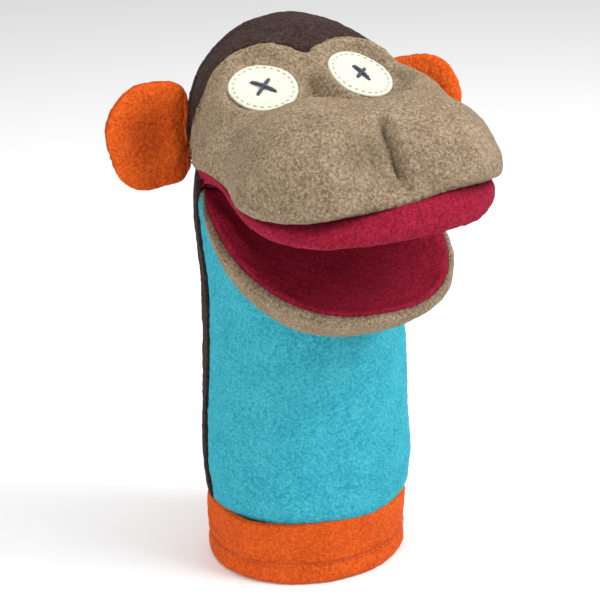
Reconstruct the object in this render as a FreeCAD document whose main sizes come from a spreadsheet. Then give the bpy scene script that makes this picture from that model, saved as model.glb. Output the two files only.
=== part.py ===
"""Moving mouth hand puppet: a fleece monkey worn over the hand, as separate cloth panels and pads.

Frame: millimetres, +Z up, the face looks along -Y and the puppet's own left side is +X.
The origin is the centre of the cuff's lower edge, on the surface that the puppet stands on.
The mouth folds on one line across the head, the hinge line, at (hinge_y, hinge_z).
"""

import FreeCAD, Part
import math
import os
import re

from FreeCAD import Placement, Rotation, Vector

WORD = re.compile("[A-Za-z_][A-Za-z_0-9]*")

doc = FreeCAD.newDocument("puppet")
sheet = doc.addObject("Spreadsheet::Sheet", "sizes")

# Driving dimensions in millimetres and degrees: alias, value.
SIZES = [
    ("cloth", 3.0),  # thickness of the fleece
    ("felt", 1.2),  # eye patches
    ("yarn", 1.6),  # cross stitches of the eyes
    ("sew_thread", 0.7),
    ("board", 2.0),  # stiffeners in the mouth
    ("play", 0.6),  # room between pieces that turn past each other
    ("sleeve_half_width", 50.0),
    ("sleeve_half_depth", 47.0),
    ("cuff_height", 33.0),
    ("hem_height", 11.0),
    ("hinge_y", 5.0),
    ("hinge_z", 198.0),
    ("fold_radius", 2.4),
    ("lining_start", 5.0),  # linings begin this far in front of the hinge line
    ("lining_gap", 0.3),  # each lining keeps this far from the plane through the hinge line
    ("palate_rise", 2.0),  # slope of the upper mouth lining, rising forwards
    ("lip_seam_lift", 4.0),  # lip seam above the hinge line, at the mouth corner
    ("lip_seam_rise", 6.5),  # slope of that seam
    ("jaw_drop", 21.0),  # slope of the lower jaw at rest, falling forwards
    ("jaw_turn", 12.0),  # furthest that the jaw opens past rest
    ("sleeve_corner_z", 191.5),  # top of the sleeve panels below the hinge line
    ("sleeve_front_z", 130.0),  # top of the front panel at the throat
    ("sleeve_back_z", 178.0),  # top of the back panel at the nape
    ("crown_seam_y", 14.0),  # seam over the head between crown and back, where the ears are caught
    ("eye_radius", 16.2),
    ("eye_x", 24.5),
    ("eye_y", -20.0),
    ("eye_slope", 27.0),
    ("lobe_radius", 24.5),  # rounded top corners of the face panel
    ("cheek_line_y", -16.0),  # behind this line the face panel is only its lobes
    ("stitch_arm", 7.5),  # half length of one cross stitch
    ("ear_x", 71.5),
    ("ear_y", 14.0),
    ("ear_z", 223.0),
    ("ear_half_width", 22.0),
    ("ear_half_height", 26.0),
    ("ear_half_thickness", 8.5),
    ("ear_root", 5.0),  # gap from the ear's seam line to its padded edge
    ("ear_seam_x", 52.0),
    ("ear_root_height", 34.0),
    ("lining_cloth", 1.2),  # thin cloth of the finger pocket and the thumb loop
    ("fingers_half_width", 44.0),
    ("fingers_half_height", 12.5),
    ("fingers_end", 98.0),
    ("thumb_half_width", 24.0),
    ("thumb_half_height", 9.0),
    ("thumb_start", 34.0),
    ("thumb_end", 56.0),
    ("hand_half_width", 42.0),  # hollow for the hand behind the mouth
    ("hand_half_depth", 34.0),
    ("hand_top_z", 246.0),
    ("wadding", 9.0),  # padding between the face and the hand
    ("reach", 300.0),  # larger than the puppet, for cutting blocks
]

# Head sections from the back of the head to the muzzle's tip, for a loft of ellipses in upright planes:
# name, distance in front (-Y), centre height, half width, half height.
HEAD_SECTIONS = [
    ("nape", 48.5, 218.0, 20.0, 16.0),
    ("occiput", 45.0, 219.0, 36.0, 31.0),
    ("vertex", 33.0, 221.0, 48.0, 45.5),
    ("crown", 16.0, 222.0, 52.0, 52.0),
    ("brow", -6.0, 217.0, 55.0, 46.5),
    ("bridge", -28.0, 212.0, 57.5, 41.0),
    ("cheeks", -54.0, 209.0, 60.5, 41.5),
    ("muzzle", -82.0, 209.0, 61.0, 44.5),
    ("nose", -104.0, 209.0, 53.0, 38.5),
    ("lip", -118.0, 208.0, 38.0, 27.0),
    ("tip", -125.0, 207.0, 19.0, 14.0),
]

# Jaw sections in the jaw's own frame, whose origin is on the hinge line:
# name, distance in front, half width, depth.
JAW_SECTIONS = [
    ("jaw_root", 1.0, 49.0, 6.0),
    ("jaw_side", -24.0, 53.0, 17.0),
    ("jaw_middle", -50.0, 54.5, 26.0),
    ("jaw_front", -78.0, 49.0, 25.0),
    ("jaw_lip", -98.0, 34.0, 18.0),
    ("jaw_tip", -107.0, 14.0, 8.0),
]


def fill_sheet():
    """Writes every driving dimension to its own cell with its alias, and returns the aliases."""
    rows = list(SIZES)
    for name, y, z, half_width, half_height in HEAD_SECTIONS:
        rows += [(name + "_y", y), (name + "_z", z)]
        rows += [(name + "_half_width", half_width), (name + "_half_height", half_height)]
    for name, y, half_width, depth in JAW_SECTIONS:
        rows += [(name + "_y", y), (name + "_half_width", half_width), (name + "_depth", depth)]
    for row, (alias, value) in enumerate(rows, start=1):
        sheet.set("A%d" % row, alias)
        sheet.set("B%d" % row, str(value))
        sheet.setAlias("B%d" % row, alias)
    doc.recompute()
    return {alias for alias, value in rows}


def size(alias):
    """The value of one cell."""
    return float(sheet.get(alias))


def bind(obj, **expressions):
    """Binds properties of an object to expressions on the sheet; a double underscore stands for a dot."""
    for prop, expression in expressions.items():
        words = WORD.sub(lambda found: qualified(found.group()), str(expression))
        obj.setExpression(prop.replace("__", "."), words)


def qualified(word):
    """A sheet alias with the sheet's name before it; any other word as it is."""
    return "sizes." + word if word in aliases else word


def add(kind, name):
    """A new object of the document whose Label is its name."""
    obj = doc.addObject(kind, name)
    obj.Label = name
    return obj


# ---------------------------------------------------------------- building blocks


def block(name, length, width, height, x=0, y=0, z=0, turn=0):
    """A box bound to the sheet, centred on x, from y to y + width and z to z + height, turned about X at its corner."""
    box = add("Part::Box", name)
    box.Placement.Rotation = Rotation(Vector(1, 0, 0), 0)
    bind(box, Length=length, Width=width, Height=height)
    bind(box, Placement__Base__x="%s - (%s) / 2" % (x, length), Placement__Base__y=y, Placement__Base__z=z)
    bind(box, Placement__Rotation__Angle=turn)
    return box


def oval_prism(name, half_width, half_depth, height, z=0):
    """An upright prism whose outline is an ellipse centred on the Z axis."""
    oval = add("Part::Ellipse", name + "_outline")
    bind(oval, MajorRadius=half_width, MinorRadius=half_depth, Placement__Base__z=z)
    prism = add("Part::Extrusion", name)
    prism.Base = oval
    prism.DirMode = "Custom"
    prism.Dir = Vector(0, 0, 1)
    prism.Solid = True
    bind(prism, LengthFwd=height)
    return prism


def cut(name, base, tool):
    """Base without tool."""
    obj = add("Part::Cut", name)
    obj.Base, obj.Tool = base, tool
    return obj


def common(name, first, second):
    """What two solids share."""
    obj = add("Part::Common", name)
    obj.Base, obj.Tool = first, second
    return obj


def fuse(name, *shapes):
    """Several solids as one."""
    obj = add("Part::MultiFuse", name)
    obj.Shapes = list(shapes)
    return obj


def section(name, y, z, half_width, half_height):
    """An ellipse in the upright plane at y."""
    oval = add("Part::Ellipse", name)
    oval.Placement.Rotation = Rotation(Vector(1, 0, 0), 90)
    bind(oval, MajorRadius=half_width, MinorRadius=half_height, Placement__Base__y=y, Placement__Base__z=z)
    return oval


def loft(name, sections):
    """A smooth solid through closed sections."""
    obj = add("Part::Loft", name)
    obj.Sections = sections
    obj.Solid = True
    obj.Ruled = False
    obj.Closed = False
    return obj


def head_volume(name, grow):
    """The head's whole rounded volume with every section grown by an expression."""
    ovals, last = [], len(HEAD_SECTIONS) - 1
    for i, (part, *_) in enumerate(HEAD_SECTIONS):
        shift = " + (%s)" % grow if i == 0 else " - (%s)" % grow if i == last else ""
        ovals.append(
            section(
                "%s_%s" % (name, part),
                "%s_y%s" % (part, shift),
                part + "_z",
                "%s_half_width + (%s)" % (part, grow),
                "%s_half_height + (%s)" % (part, grow),
            )
        )
    return loft(name, ovals)


def jaw_volume(name, grow):
    """The jaw's volume in its own frame, put at the hinge line and turned down by its slope."""
    ovals, last = [], len(JAW_SECTIONS) - 1
    for i, (part, *_) in enumerate(JAW_SECTIONS):
        shift = " - (%s)" % grow if i == last else ""
        ovals.append(
            section(
                "%s_%s" % (name, part),
                "%s_y%s" % (part, shift),
                "0",
                "%s_half_width + (%s)" % (part, grow),
                "%s_depth + (%s)" % (part, grow),
            )
        )
    solid = loft(name, ovals)
    solid.Placement.Rotation = Rotation(Vector(1, 0, 0), 0)
    bind(solid, Placement__Base__y="hinge_y", Placement__Base__z="hinge_z")
    bind(solid, Placement__Rotation__Angle="jaw_drop")
    return solid


def turned_block(name, turn, near, far, low, high, y="hinge_y", z="hinge_z"):
    """A block turned about the X line through (y, z), from near to far in front of it and from low to high."""
    box = add("Part::Box", name)
    box.Placement.Rotation = Rotation(Vector(1, 0, 0), 0)
    bind(box, Length="reach", Width="(%s) - (%s)" % (far, near), Height="(%s) - (%s)" % (high, low))
    bind(
        box,
        Placement__Base__x="-reach / 2",
        Placement__Base__y="%s - (%s) * cos(%s) - (%s) * sin(%s)" % (y, far, turn, low, turn),
        Placement__Base__z="%s - (%s) * sin(%s) + (%s) * cos(%s)" % (z, far, turn, low, turn),
        Placement__Rotation__Angle=turn,
    )
    return box


def turned_oval(name, turn, near, far, middle, half_width, half_height):
    """A lying prism with an elliptic section, turned about the hinge line, from near to far in front of it."""
    oval = add("Part::Ellipse", name + "_outline")
    oval.Placement.Rotation = Rotation(Vector(1, 0, 0), 90)
    bind(oval, MajorRadius=half_width, MinorRadius=half_height)
    bind(
        oval,
        Placement__Base__y="hinge_y - (%s) * cos(%s) - (%s) * sin(%s)" % (near, turn, middle, turn),
        Placement__Base__z="hinge_z - (%s) * sin(%s) + (%s) * cos(%s)" % (near, turn, middle, turn),
        Placement__Rotation__Angle="90 + (%s)" % turn,
    )
    prism = add("Part::Extrusion", name)
    prism.Base = oval
    prism.DirMode = "Normal"
    prism.Reversed = True
    prism.Solid = True
    bind(prism, LengthFwd="(%s) - (%s)" % (far, near))
    return prism


# ---------------------------------------------------------------- sleeve: cuff, front and back panels


def make_cuff():
    """The orange cuff: one band of fleece whose lower edge is turned up inside as a hem."""
    outer = oval_prism("cuff_outside", "sleeve_half_width", "sleeve_half_depth", "cuff_height")
    inner = oval_prism(
        "cuff_inside",
        "sleeve_half_width - cloth",
        "sleeve_half_depth - cloth",
        "cuff_height - hem_height",
        "hem_height",
    )
    hem = oval_prism(
        "hem_inside",
        "sleeve_half_width - 2 * cloth",
        "sleeve_half_depth - 2 * cloth",
        "hem_height",
    )
    return cut("cuff_band", outer, fuse("cuff_hollow", inner, hem))


def make_sleeve():
    """The tube above the cuff, split at the side seams, and the strips of it that bend at the neck."""
    height = "hinge_z - play - cuff_height"
    outer = oval_prism("tube_outside", "sleeve_half_width", "sleeve_half_depth", height, "cuff_height")
    inner = oval_prism(
        "tube_inside", "sleeve_half_width - cloth", "sleeve_half_depth - cloth", height, "cuff_height"
    )
    tube = cut("tube", outer, inner)
    front_side = block("front_side", "reach", "reach", "reach", 0, "hinge_y - reach", 0)
    back_side = block("back_side", "reach", "reach", "reach", 0, "hinge_y", 0)
    front_tube = common("front_tube", tube, front_side)
    back_tube = common("back_tube", tube, back_side)
    throat_slope = "atan((sleeve_corner_z - sleeve_front_z) / (sleeve_half_depth + hinge_y))"
    nape_slope = "atan((sleeve_corner_z - sleeve_back_z) / (sleeve_half_depth - hinge_y))"
    throat_cut = turned_block(
        "throat_cut", throat_slope, "-reach / 2", "reach", "0", "reach", "hinge_y", "sleeve_corner_z"
    )
    nape_cut = turned_block(
        "nape_cut", "-1 * " + nape_slope, "-reach", "reach / 2", "0", "reach", "hinge_y", "sleeve_corner_z"
    )
    front = cut("sleeve_front", front_tube, throat_cut)
    back = cut("sleeve_back", back_tube, nape_cut)
    nape = common("nape_fold", back_tube, nape_cut)
    throat_blank = common("throat_blank", front_tube, throat_cut)
    return front, back, nape, throat_blank


def oval_point(half_width, half_depth, angle, z):
    """A point of an ellipse about the Z axis."""
    return Vector(half_width * math.cos(angle), half_depth * math.sin(angle), z)


def stitch_rod(start, end, radius):
    """One straight stitch from start to end."""
    run = end - start
    return Part.makeCylinder(radius, run.Length, start, run)


def make_hem_stitches():
    """A ring of machine stitches round the cuff, at the top of the hem, just proud of the cloth."""
    count, share = 84, 0.7
    radius = size("sew_thread") / 2
    half_width = size("sleeve_half_width") + radius + 0.06
    half_depth = size("sleeve_half_depth") + radius + 0.06
    rods, step = [], 2 * math.pi / count
    for i in range(count):
        ends = [
            oval_point(half_width, half_depth, step * (i + k * share), size("hem_height") - 1)
            for k in (0, 1)
        ]
        rods.append(stitch_rod(ends[0], ends[1], radius))
    obj = add("Part::Feature", "cuff_hem_stitches")
    obj.Shape = Part.makeCompound(rods)
    return obj


def make_side_seams():
    """The thread of the two side seams, as running stitches inside the sleeve where the panels meet."""
    length, gap = 5.0, 2.0
    radius = size("sew_thread") / 2
    wall = size("sleeve_half_width") - size("cloth")
    y = size("hinge_y")
    x = wall * math.sqrt(1 - (y / (size("sleeve_half_depth") - size("cloth"))) ** 2) - radius - 0.1
    rods = []
    for side in (-1, 1):
        z = size("cuff_height") + gap
        while z + length < size("sleeve_corner_z"):
            rods.append(stitch_rod(Vector(side * x, y, z), Vector(side * x, y, z + length), radius))
            z += length + gap
    obj = add("Part::Feature", "side_seam_stitches")
    obj.Shape = Part.makeCompound(rods)
    return obj


def make_mouth_fold():
    """The folded middle of the mouth lining: a soft roll of cloth along the hinge line."""
    roll = add("Part::Cylinder", "mouth_fold")
    roll.Placement.Rotation = Rotation(Vector(0, 1, 0), 90)
    bind(roll, Radius="fold_radius", Height="2 * (sleeve_half_width - cloth - 3.5)")
    bind(
        roll,
        Placement__Base__x="0 - (sleeve_half_width - cloth - 3.5)",
        Placement__Base__y="hinge_y",
        Placement__Base__z="hinge_z",
    )
    return roll


# ---------------------------------------------------------------- upper head


def make_head():
    """Face, crown, back of head, upper mouth lining and its board, all cut from one rounded shell."""
    outer = head_volume("head_outside", "0")
    inner = head_volume("head_inside", "0 - cloth")
    rise, seam = "-1 * palate_rise", "-1 * lip_seam_rise"
    under_palate = turned_block("under_palate", rise, "0", "reach", "-reach", "lining_gap")
    under_neck = block("under_neck", "reach", "reach", "reach", 0, "hinge_y - 4", "hinge_z - reach")
    underneath = fuse("head_underneath", under_palate, under_neck)
    under_lip = turned_block("under_lip_seam", seam, "lining_start", "reach", "-reach", "lip_seam_lift")
    lining_top = "lining_gap + cloth"
    over_lining = turned_block("lining_slab", rise, "lining_start", "reach", "-reach", lining_top)
    board_top = lining_top + " + board"
    over_board = turned_block("board_slab", rise, "lining_start + 3", "reach", "-reach", board_top)
    shell = cut("head_shell", cut("head_wall", outer, inner), underneath)
    cloth_shell = cut("head_cloth", shell, under_lip)
    lobes = []
    for side, name in ((-1, "right"), (1, "left")):
        lobe = add("Part::Cylinder", "face_lobe_" + name)
        bind(lobe, Radius="lobe_radius", Height="reach")
        bind(lobe, Placement__Base__x="%d * eye_x" % side, Placement__Base__y="eye_y + 1")
        lobes.append(lobe)
    muzzle_zone = block("muzzle_zone", "reach", "reach", "reach", 0, "cheek_line_y - reach", 0)
    face_zone = fuse("face_zone", muzzle_zone, *lobes)
    crown_zone = block("crown_zone", "reach - 20", "reach", "reach - 10", 0, "crown_seam_y - reach", 5)
    face = common("face_panel", cloth_shell, face_zone)
    crown = common("crown_front", cloth_shell, cut("crown_region", crown_zone, face_zone))
    back = cut("back_of_head", cloth_shell, crown_zone)
    lip_block = cut("lip_block", common("lip_part", outer, under_lip), underneath)
    lining_room = cut("lining_room", inner, over_lining)
    lining = cut("upper_mouth_lining", lip_block, lining_room)
    board_blank = common("board_blank", inner, over_board)
    board = cut("upper_mouth_board", board_blank, fuse("board_under", over_lining, under_neck))
    middle = board_top + " + fingers_half_height"
    pocket_outer = turned_oval(
        "finger_pocket_outside", rise, "lining_start + 3", "fingers_end", middle,
        "fingers_half_width", "fingers_half_height",
    )
    pocket_inner = turned_oval(
        "finger_pocket_inside", rise, "0", "fingers_end - lining_cloth", middle,
        "fingers_half_width - lining_cloth", "fingers_half_height - lining_cloth",
    )
    pocket = cut("finger_pocket", pocket_outer, pocket_inner)
    hand_room = oval_prism("hand_room", "hand_half_width", "hand_half_depth", "hand_top_z - hinge_z", "hinge_z")
    layer = cut(
        "wadding_layer",
        head_volume("wadding_outside", "0 - cloth - 0.05"),
        head_volume("wadding_inside", "0 - cloth - wadding"),
    )
    mouth_room = block(
        "mouth_room", "reach", "reach", "reach", 0, "hinge_y - lining_start - 6", "hinge_z + lining_start + 3 - reach"
    )
    above_board = cut("wadding_above_board", cut("wadding_above_mouth", layer, mouth_room), over_board)
    filling = cut("head_filling", cut("wadding_behind_fingers", above_board, hand_room), pocket_outer)
    return face, crown, back, lining, board, pocket, filling


def eye_tool(name, side, radius, height, local):
    """A cylinder square to the face at one eye, at a point of the eye's own plane."""
    tool = add("Part::Cylinder", name)
    tool.Placement.Rotation = Rotation(Vector(1, 0, 0), 0)
    bind(tool, Radius=radius, Height=height)
    bind(
        tool,
        Placement__Base__x="%d * eye_x" % side,
        Placement__Base__y="eye_y + 40 * sin(eye_slope)",
        Placement__Base__z=local,
        Placement__Rotation__Angle="eye_slope",
    )
    return tool


def eye_frame(side):
    """The placement of an eye's own plane: origin on the face, its Z square to the face."""
    at = Vector(side * size("eye_x"), size("eye_y"), size("brow_z") + size("brow_half_height") - 9)
    return Placement(at, Rotation(Vector(1, 0, 0), size("eye_slope")))


def make_eyes():
    """Felt eye patches, their edge stitches and the crossed yarn stitches, laid on the face."""
    layers = [
        head_volume("face_surface", "0"),
        head_volume("felt_surface", "felt"),
        head_volume("yarn_surface", "felt + yarn"),
        head_volume("thread_surface", "felt + sew_thread"),
    ]
    felt = cut("felt_layer", layers[1], layers[0])
    yarn = cut("yarn_layer", layers[2], layers[1])
    thread = cut("thread_layer", layers[3], layers[1])
    made = []
    for side, name in ((-1, "right"), (1, "left")):
        disc = eye_tool("eye_disc_" + name, side, "eye_radius", "80", "brow_z + brow_half_height - 45")
        made.append(common(name + "_eye_patch", felt, disc))
        frame = eye_frame(side)
        arm, wide, tall = size("stitch_arm"), size("yarn"), 60.0
        cross = []
        for turn in (33, -57):
            bar = Part.makeBox(2 * arm, wide, tall, Vector(-arm, -wide / 2, -tall / 2))
            bar.rotate(Vector(0, 0, 0), Vector(0, 0, 1), turn)
            cross.append(bar)
        tool = add("Part::Feature", "cross_tool_" + name)
        tool.Shape = cross[0].fuse(cross[1])
        tool.Placement = frame
        made.append(common(name + "_eye_cross_stitch", yarn, tool))
        ring, count = [], 26
        for i in range(count):
            bar = Part.makeBox(0.7, 2.2, tall, Vector(size("eye_radius") - 2.2, -1.1, -tall / 2))
            bar.rotate(Vector(0, 0, 0), Vector(0, 0, 1), 360.0 * i / count)
            ring.append(bar)
        tool = add("Part::Feature", "ring_tool_" + name)
        tool.Shape = Part.makeCompound(ring)
        tool.Placement = frame
        made.append(common(name + "_eye_edge_stitches", thread, tool))
    return made


# ---------------------------------------------------------------- lower jaw


def make_jaw(throat_blank):
    """Lower mouth lining, its board, the chin panel under them, and the throat strip behind the chin."""
    outer = jaw_volume("jaw_outside", "0")
    inner = jaw_volume("jaw_inside", "0 - cloth")
    clear = jaw_volume("jaw_clear", "play")
    drop, start = "jaw_drop", "lining_start"
    under_lining = "0 - lining_gap - cloth"
    under_board = under_lining + " - board"
    lining_slab = turned_block("jaw_lining_slab", drop, start, "reach", under_lining, "0 - lining_gap")
    lining = common("lower_mouth_lining", outer, lining_slab)
    board_slab = turned_block("jaw_board_slab", drop, start + " + 3", "reach", under_board, under_lining)
    board = common("lower_mouth_board", inner, board_slab)
    lower_half = turned_block("jaw_lower_half", drop, start, "reach", "0 - reach / 4", under_lining)
    wall = common("jaw_wall", cut("jaw_shell", outer, inner), lower_half)
    chin = wall
    for share, label in ((0, "chin_closed"), (0.5, "chin_halfway"), (1, "chin_panel")):
        room = oval_prism(
            label + "_room",
            "sleeve_half_width + 2 * play",
            "sleeve_half_depth + 2 * play",
            "reach",
        )
        turned = "%s * jaw_turn" % share
        room.Placement.Rotation = Rotation(Vector(1, 0, 0), 0)
        bind(
            room,
            Placement__Base__y="hinge_y - hinge_y * cos(%s) - hinge_z * sin(%s)" % (turned, turned),
            Placement__Base__z="hinge_z + hinge_y * sin(%s) - hinge_z * cos(%s)" % (turned, turned),
            Placement__Rotation__Angle="-1 * " + turned,
        )
        chin = cut(label, chin, room)
    middle = under_board + " - thumb_half_height"
    pocket_outer = turned_oval(
        "thumb_loop_outside", drop, "thumb_start", "thumb_end", middle, "thumb_half_width", "thumb_half_height"
    )
    pocket_inner = turned_oval(
        "thumb_loop_inside", drop, "0", "reach", middle,
        "thumb_half_width - lining_cloth", "thumb_half_height - lining_cloth",
    )
    loop = cut("thumb_loop", pocket_outer, pocket_inner)
    above_jaw = turned_block("above_jaw", drop, "-20", "reach", "0", "reach")
    throat = cut("throat_fold", throat_blank, fuse("jaw_sweep", clear, above_jaw))
    return lining, board, chin, loop, throat


# ---------------------------------------------------------------- ears


def make_ear(side, name, head):
    """One ear: two cloth halves sewn over a soft filling, and the roll of cloth caught in the head's seam."""

    def lens(label, grow):
        solid = add("Part::Ellipsoid", label)
        solid.Placement.Rotation = Rotation(Vector(0, 0, 1), 90 - 90 * side)
        bind(
            solid,
            Radius1="ear_half_height - (%s)" % grow,
            Radius2="ear_half_width - (%s)" % grow,
            Radius3="ear_half_thickness - (%s)" % grow,
        )
        bind(
            solid,
            Placement__Base__x="%d * ear_x" % side,
            Placement__Base__y="ear_y",
            Placement__Base__z="ear_z",
        )
        return solid

    outer, inner = lens(name + "_ear_outside", "0"), lens(name + "_ear_inside", "cloth")
    offset = "%d * (ear_seam_x + ear_root + reach / 2)" % side
    away = block(name + "_ear_zone", "reach", "reach", "reach", offset, "0 - reach / 2", 0)
    front_zone = block(name + "_ear_front_zone", "reach", "reach", "reach", 0, "ear_y - reach", 0)
    wall = common(name + "_ear_wall", cut(name + "_ear_shell", outer, inner), away)
    front = common(name + "_ear_front", wall, front_zone)
    back = cut(name + "_ear_back", wall, front_zone)
    filling = common(name + "_ear_filling", inner, away)
    root_blank = add("Part::Cylinder", name + "_ear_root_blank")
    bind(root_blank, Radius="ear_root - 2 * lining_gap", Height="ear_root_height")
    bind(root_blank, Placement__Base__x="%d * ear_seam_x" % side, Placement__Base__y="ear_y")
    bind(root_blank, Placement__Base__z="ear_z - ear_root_height / 2")
    root = cut(name + "_ear_root", root_blank, head)
    return front, back, filling, root


# ---------------------------------------------------------------- check and write


def fault(obj):
    """Why an object of the document can't be used, or nothing."""
    if {"Invalid", "Error"} & set(obj.State):
        return "%s is %s (%s)" % (obj.Label, ", ".join(obj.State), obj.getStatusString())
    return None


def write(nodes):
    """Checks each sub-part and writes it to parts/NODE.step."""
    os.makedirs("parts", exist_ok=True)
    for obj in nodes:
        shape = obj.Shape
        if shape.isNull() or not shape.isValid() or not shape.Solids:
            raise RuntimeError("%s has no valid solid" % obj.Label)
        solids = shape.Solids
        kept = solids[0] if len(solids) == 1 else Part.makeCompound(solids)
        kept.exportStep(os.path.join("parts", obj.Label + ".step"))
        box = kept.BoundBox
        print(
            "%-26s solids %3d  volume %9.1f  x %6.1f..%6.1f  y %6.1f..%6.1f  z %6.1f..%6.1f"
            % (obj.Label, len(solids), kept.Volume, box.XMin, box.XMax, box.YMin, box.YMax, box.ZMin, box.ZMax)
        )


aliases = fill_sheet()

nodes = [make_cuff(), make_hem_stitches(), make_side_seams(), make_mouth_fold()]
front_panel, back_panel, nape_strip, throat_strip = make_sleeve()
nodes += [front_panel, back_panel, nape_strip]
nodes += make_head()
nodes += make_eyes()
nodes += make_jaw(throat_strip)
nodes += make_ear(-1, "right", doc.getObject("head_outside"))
nodes += make_ear(1, "left", doc.getObject("head_outside"))

doc.recompute()
faults = [text for text in map(fault, doc.Objects) if text]
if faults:
    raise RuntimeError("; ".join(faults))
write(nodes)
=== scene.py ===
"""Moving mouth hand puppet sewn from fleece: a padded monkey head over a sleeve with a hemmed cuff.

Every cloth panel is a grid of points laid out with numpy. Sizes below are in millimetres in the puppet's own
frame, whose origin is the centre of the cuff's lower edge: +Z up, the face along -Y, the puppet's own left side
+X. Meshes are in metres.
"""

from __future__ import annotations

import logging
import math
from dataclasses import dataclass, field
from enum import Enum
from typing import Sequence

import bmesh
import bpy
import numpy as np
from mathutils import Matrix, Vector


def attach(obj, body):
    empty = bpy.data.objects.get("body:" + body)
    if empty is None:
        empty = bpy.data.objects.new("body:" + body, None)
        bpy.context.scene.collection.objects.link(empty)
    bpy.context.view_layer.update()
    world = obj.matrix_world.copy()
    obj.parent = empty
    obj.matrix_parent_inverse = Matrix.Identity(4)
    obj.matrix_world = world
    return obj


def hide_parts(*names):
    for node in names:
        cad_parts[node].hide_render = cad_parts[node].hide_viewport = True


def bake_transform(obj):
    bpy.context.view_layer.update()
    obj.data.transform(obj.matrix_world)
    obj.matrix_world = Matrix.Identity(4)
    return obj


Array = np.ndarray
LOG = logging.getLogger("puppet")
MM = 0.001
UP = np.array([0.0, 0.0, 1.0])
LEVEL = np.array([1.0, 1.0, 0.0])  # keeps the level part of a vector

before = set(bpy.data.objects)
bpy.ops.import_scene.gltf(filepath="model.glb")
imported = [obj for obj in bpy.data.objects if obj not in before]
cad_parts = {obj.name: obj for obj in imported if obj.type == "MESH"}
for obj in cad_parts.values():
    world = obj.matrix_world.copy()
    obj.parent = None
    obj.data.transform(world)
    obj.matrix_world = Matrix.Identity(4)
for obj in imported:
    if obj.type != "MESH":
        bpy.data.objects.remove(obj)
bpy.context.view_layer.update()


class Body(Enum):
    """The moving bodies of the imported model."""

    SLEEVE = "sleeve"
    HEAD = "upper_head"
    JAW = "lower_jaw"
    RIGHT_EAR = "right_ear"
    LEFT_EAR = "left_ear"


class Held(Enum):
    """How a sheet of cloth is held."""

    STRETCHED = "stretched"
    FOLDED = "folded"


# ------------------------------------------------------------------ curves, surfaces and noise


def catmull_rom(points: Array | Sequence, count: int) -> Array:
    """Samples a Catmull-Rom spline evenly by its length, whole-array, along the first axis.

    Each span is the cubic that passes through its two points with slopes half of the chord of their
    neighbours.

    Args:
        points: control points, shape (k, ..., 3).
        count: number of samples.

    Returns:
        The samples, shape (count, ..., 3).
    """
    knots = np.asarray(points, float)
    gaps = np.linalg.norm(np.diff(knots, axis=0), axis=-1)
    gaps = gaps.reshape(len(gaps), -1).mean(1)
    along = np.concatenate([[0.0], np.cumsum(gaps)])
    at = np.interp(np.linspace(0.0, along[-1], count), along, np.arange(len(knots)))
    first = np.clip(at.astype(int), 0, len(knots) - 2)
    part = (at - first).reshape((-1,) + (1,) * (knots.ndim - 1))

    def knot(shift: int) -> Array:
        """The control point that many places after each sample's own."""
        return knots[np.clip(first + shift, 0, len(knots) - 1)]

    before, start, end, after = knot(-1), knot(0), knot(1), knot(2)
    edge = (first == 0).reshape(part.shape)
    before = np.where(edge, 2 * start - end, before)
    edge = (first == len(knots) - 2).reshape(part.shape)
    after = np.where(edge, 2 * end - start, after)
    return 0.5 * (
        2 * start
        + (end - before) * part
        + (2 * before - 5 * start + 4 * end - after) * part**2
        + (3 * start - before - 3 * end + after) * part**3
    )


def loft(curves: Sequence[Array], rows: int) -> Array:
    """A surface through several curves with the same number of points: a spline across them at each point.

    Args:
        curves: the control curves, each of shape (n, 3).
        rows: samples across the curves.

    Returns:
        A grid of points, shape (rows, n, 3).
    """
    return catmull_rom(np.stack(curves), rows)


def grid_normals(grid: Array) -> Array:
    """Unit normals of a grid: the cross product of its two central differences.

    Args:
        grid: points, shape (rows, columns, 3).

    Returns:
        Normals of the same shape.
    """
    normal = np.cross(np.gradient(grid, axis=1), np.gradient(grid, axis=0))
    return normal / np.maximum(np.linalg.norm(normal, axis=-1, keepdims=True), 1e-9)


def outward_normals(grid: Array, inside: Array) -> Array:
    """Unit normals of a grid that look away from a point inside it.

    Args:
        grid: points, shape (rows, columns, 3).
        inside: the point that the normals look away from, taken over the whole grid.

    Returns:
        Normals of the same shape.
    """
    normals = grid_normals(grid)
    return normals * np.sign(np.mean(np.sum(normals * (grid - inside), axis=-1)))


def finer(grid: Array, rows: int, columns: int) -> Array:
    """Resamples a coarse grid by splines, first across its rows and then along them."""
    tall = catmull_rom(grid, rows)
    return catmull_rom(tall.swapaxes(0, 1), columns).swapaxes(0, 1)


def hashed(cells: Array, seed: int) -> Array:
    """A repeatable number from 0 to 1 for each integer cell: the fraction left by a large sine.

    Args:
        cells: whole numbers, shape (..., 3).
        seed: which of many patterns.

    Returns:
        One number for each cell.
    """
    mixed = cells @ np.array([127.1, 311.7, 74.7]) + 53.3 * seed
    return np.modf(np.abs(np.sin(mixed) * 43758.5453))[0]


def noise(points: Array, size: float, seed: int = 1) -> Array:
    """Value noise from -1 to 1: hashed corners of a cubic lattice, blended smoothly along each axis.

    Args:
        points: places in millimetres, shape (..., 3).
        size: the lattice's pitch in millimetres.
        seed: which of many patterns.

    Returns:
        One number for each point.
    """
    scaled = np.asarray(points) / size
    cell = np.floor(scaled)
    part = scaled - cell
    part = part * part * (3 - 2 * part)
    total = np.zeros(scaled.shape[:-1])
    for corner in np.ndindex(2, 2, 2):
        offset = np.array(corner)
        weight = np.prod(np.where(offset == 1, part, 1 - part), axis=-1)
        total += weight * hashed(cell + offset, seed)
    return 2 * total - 1


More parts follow.
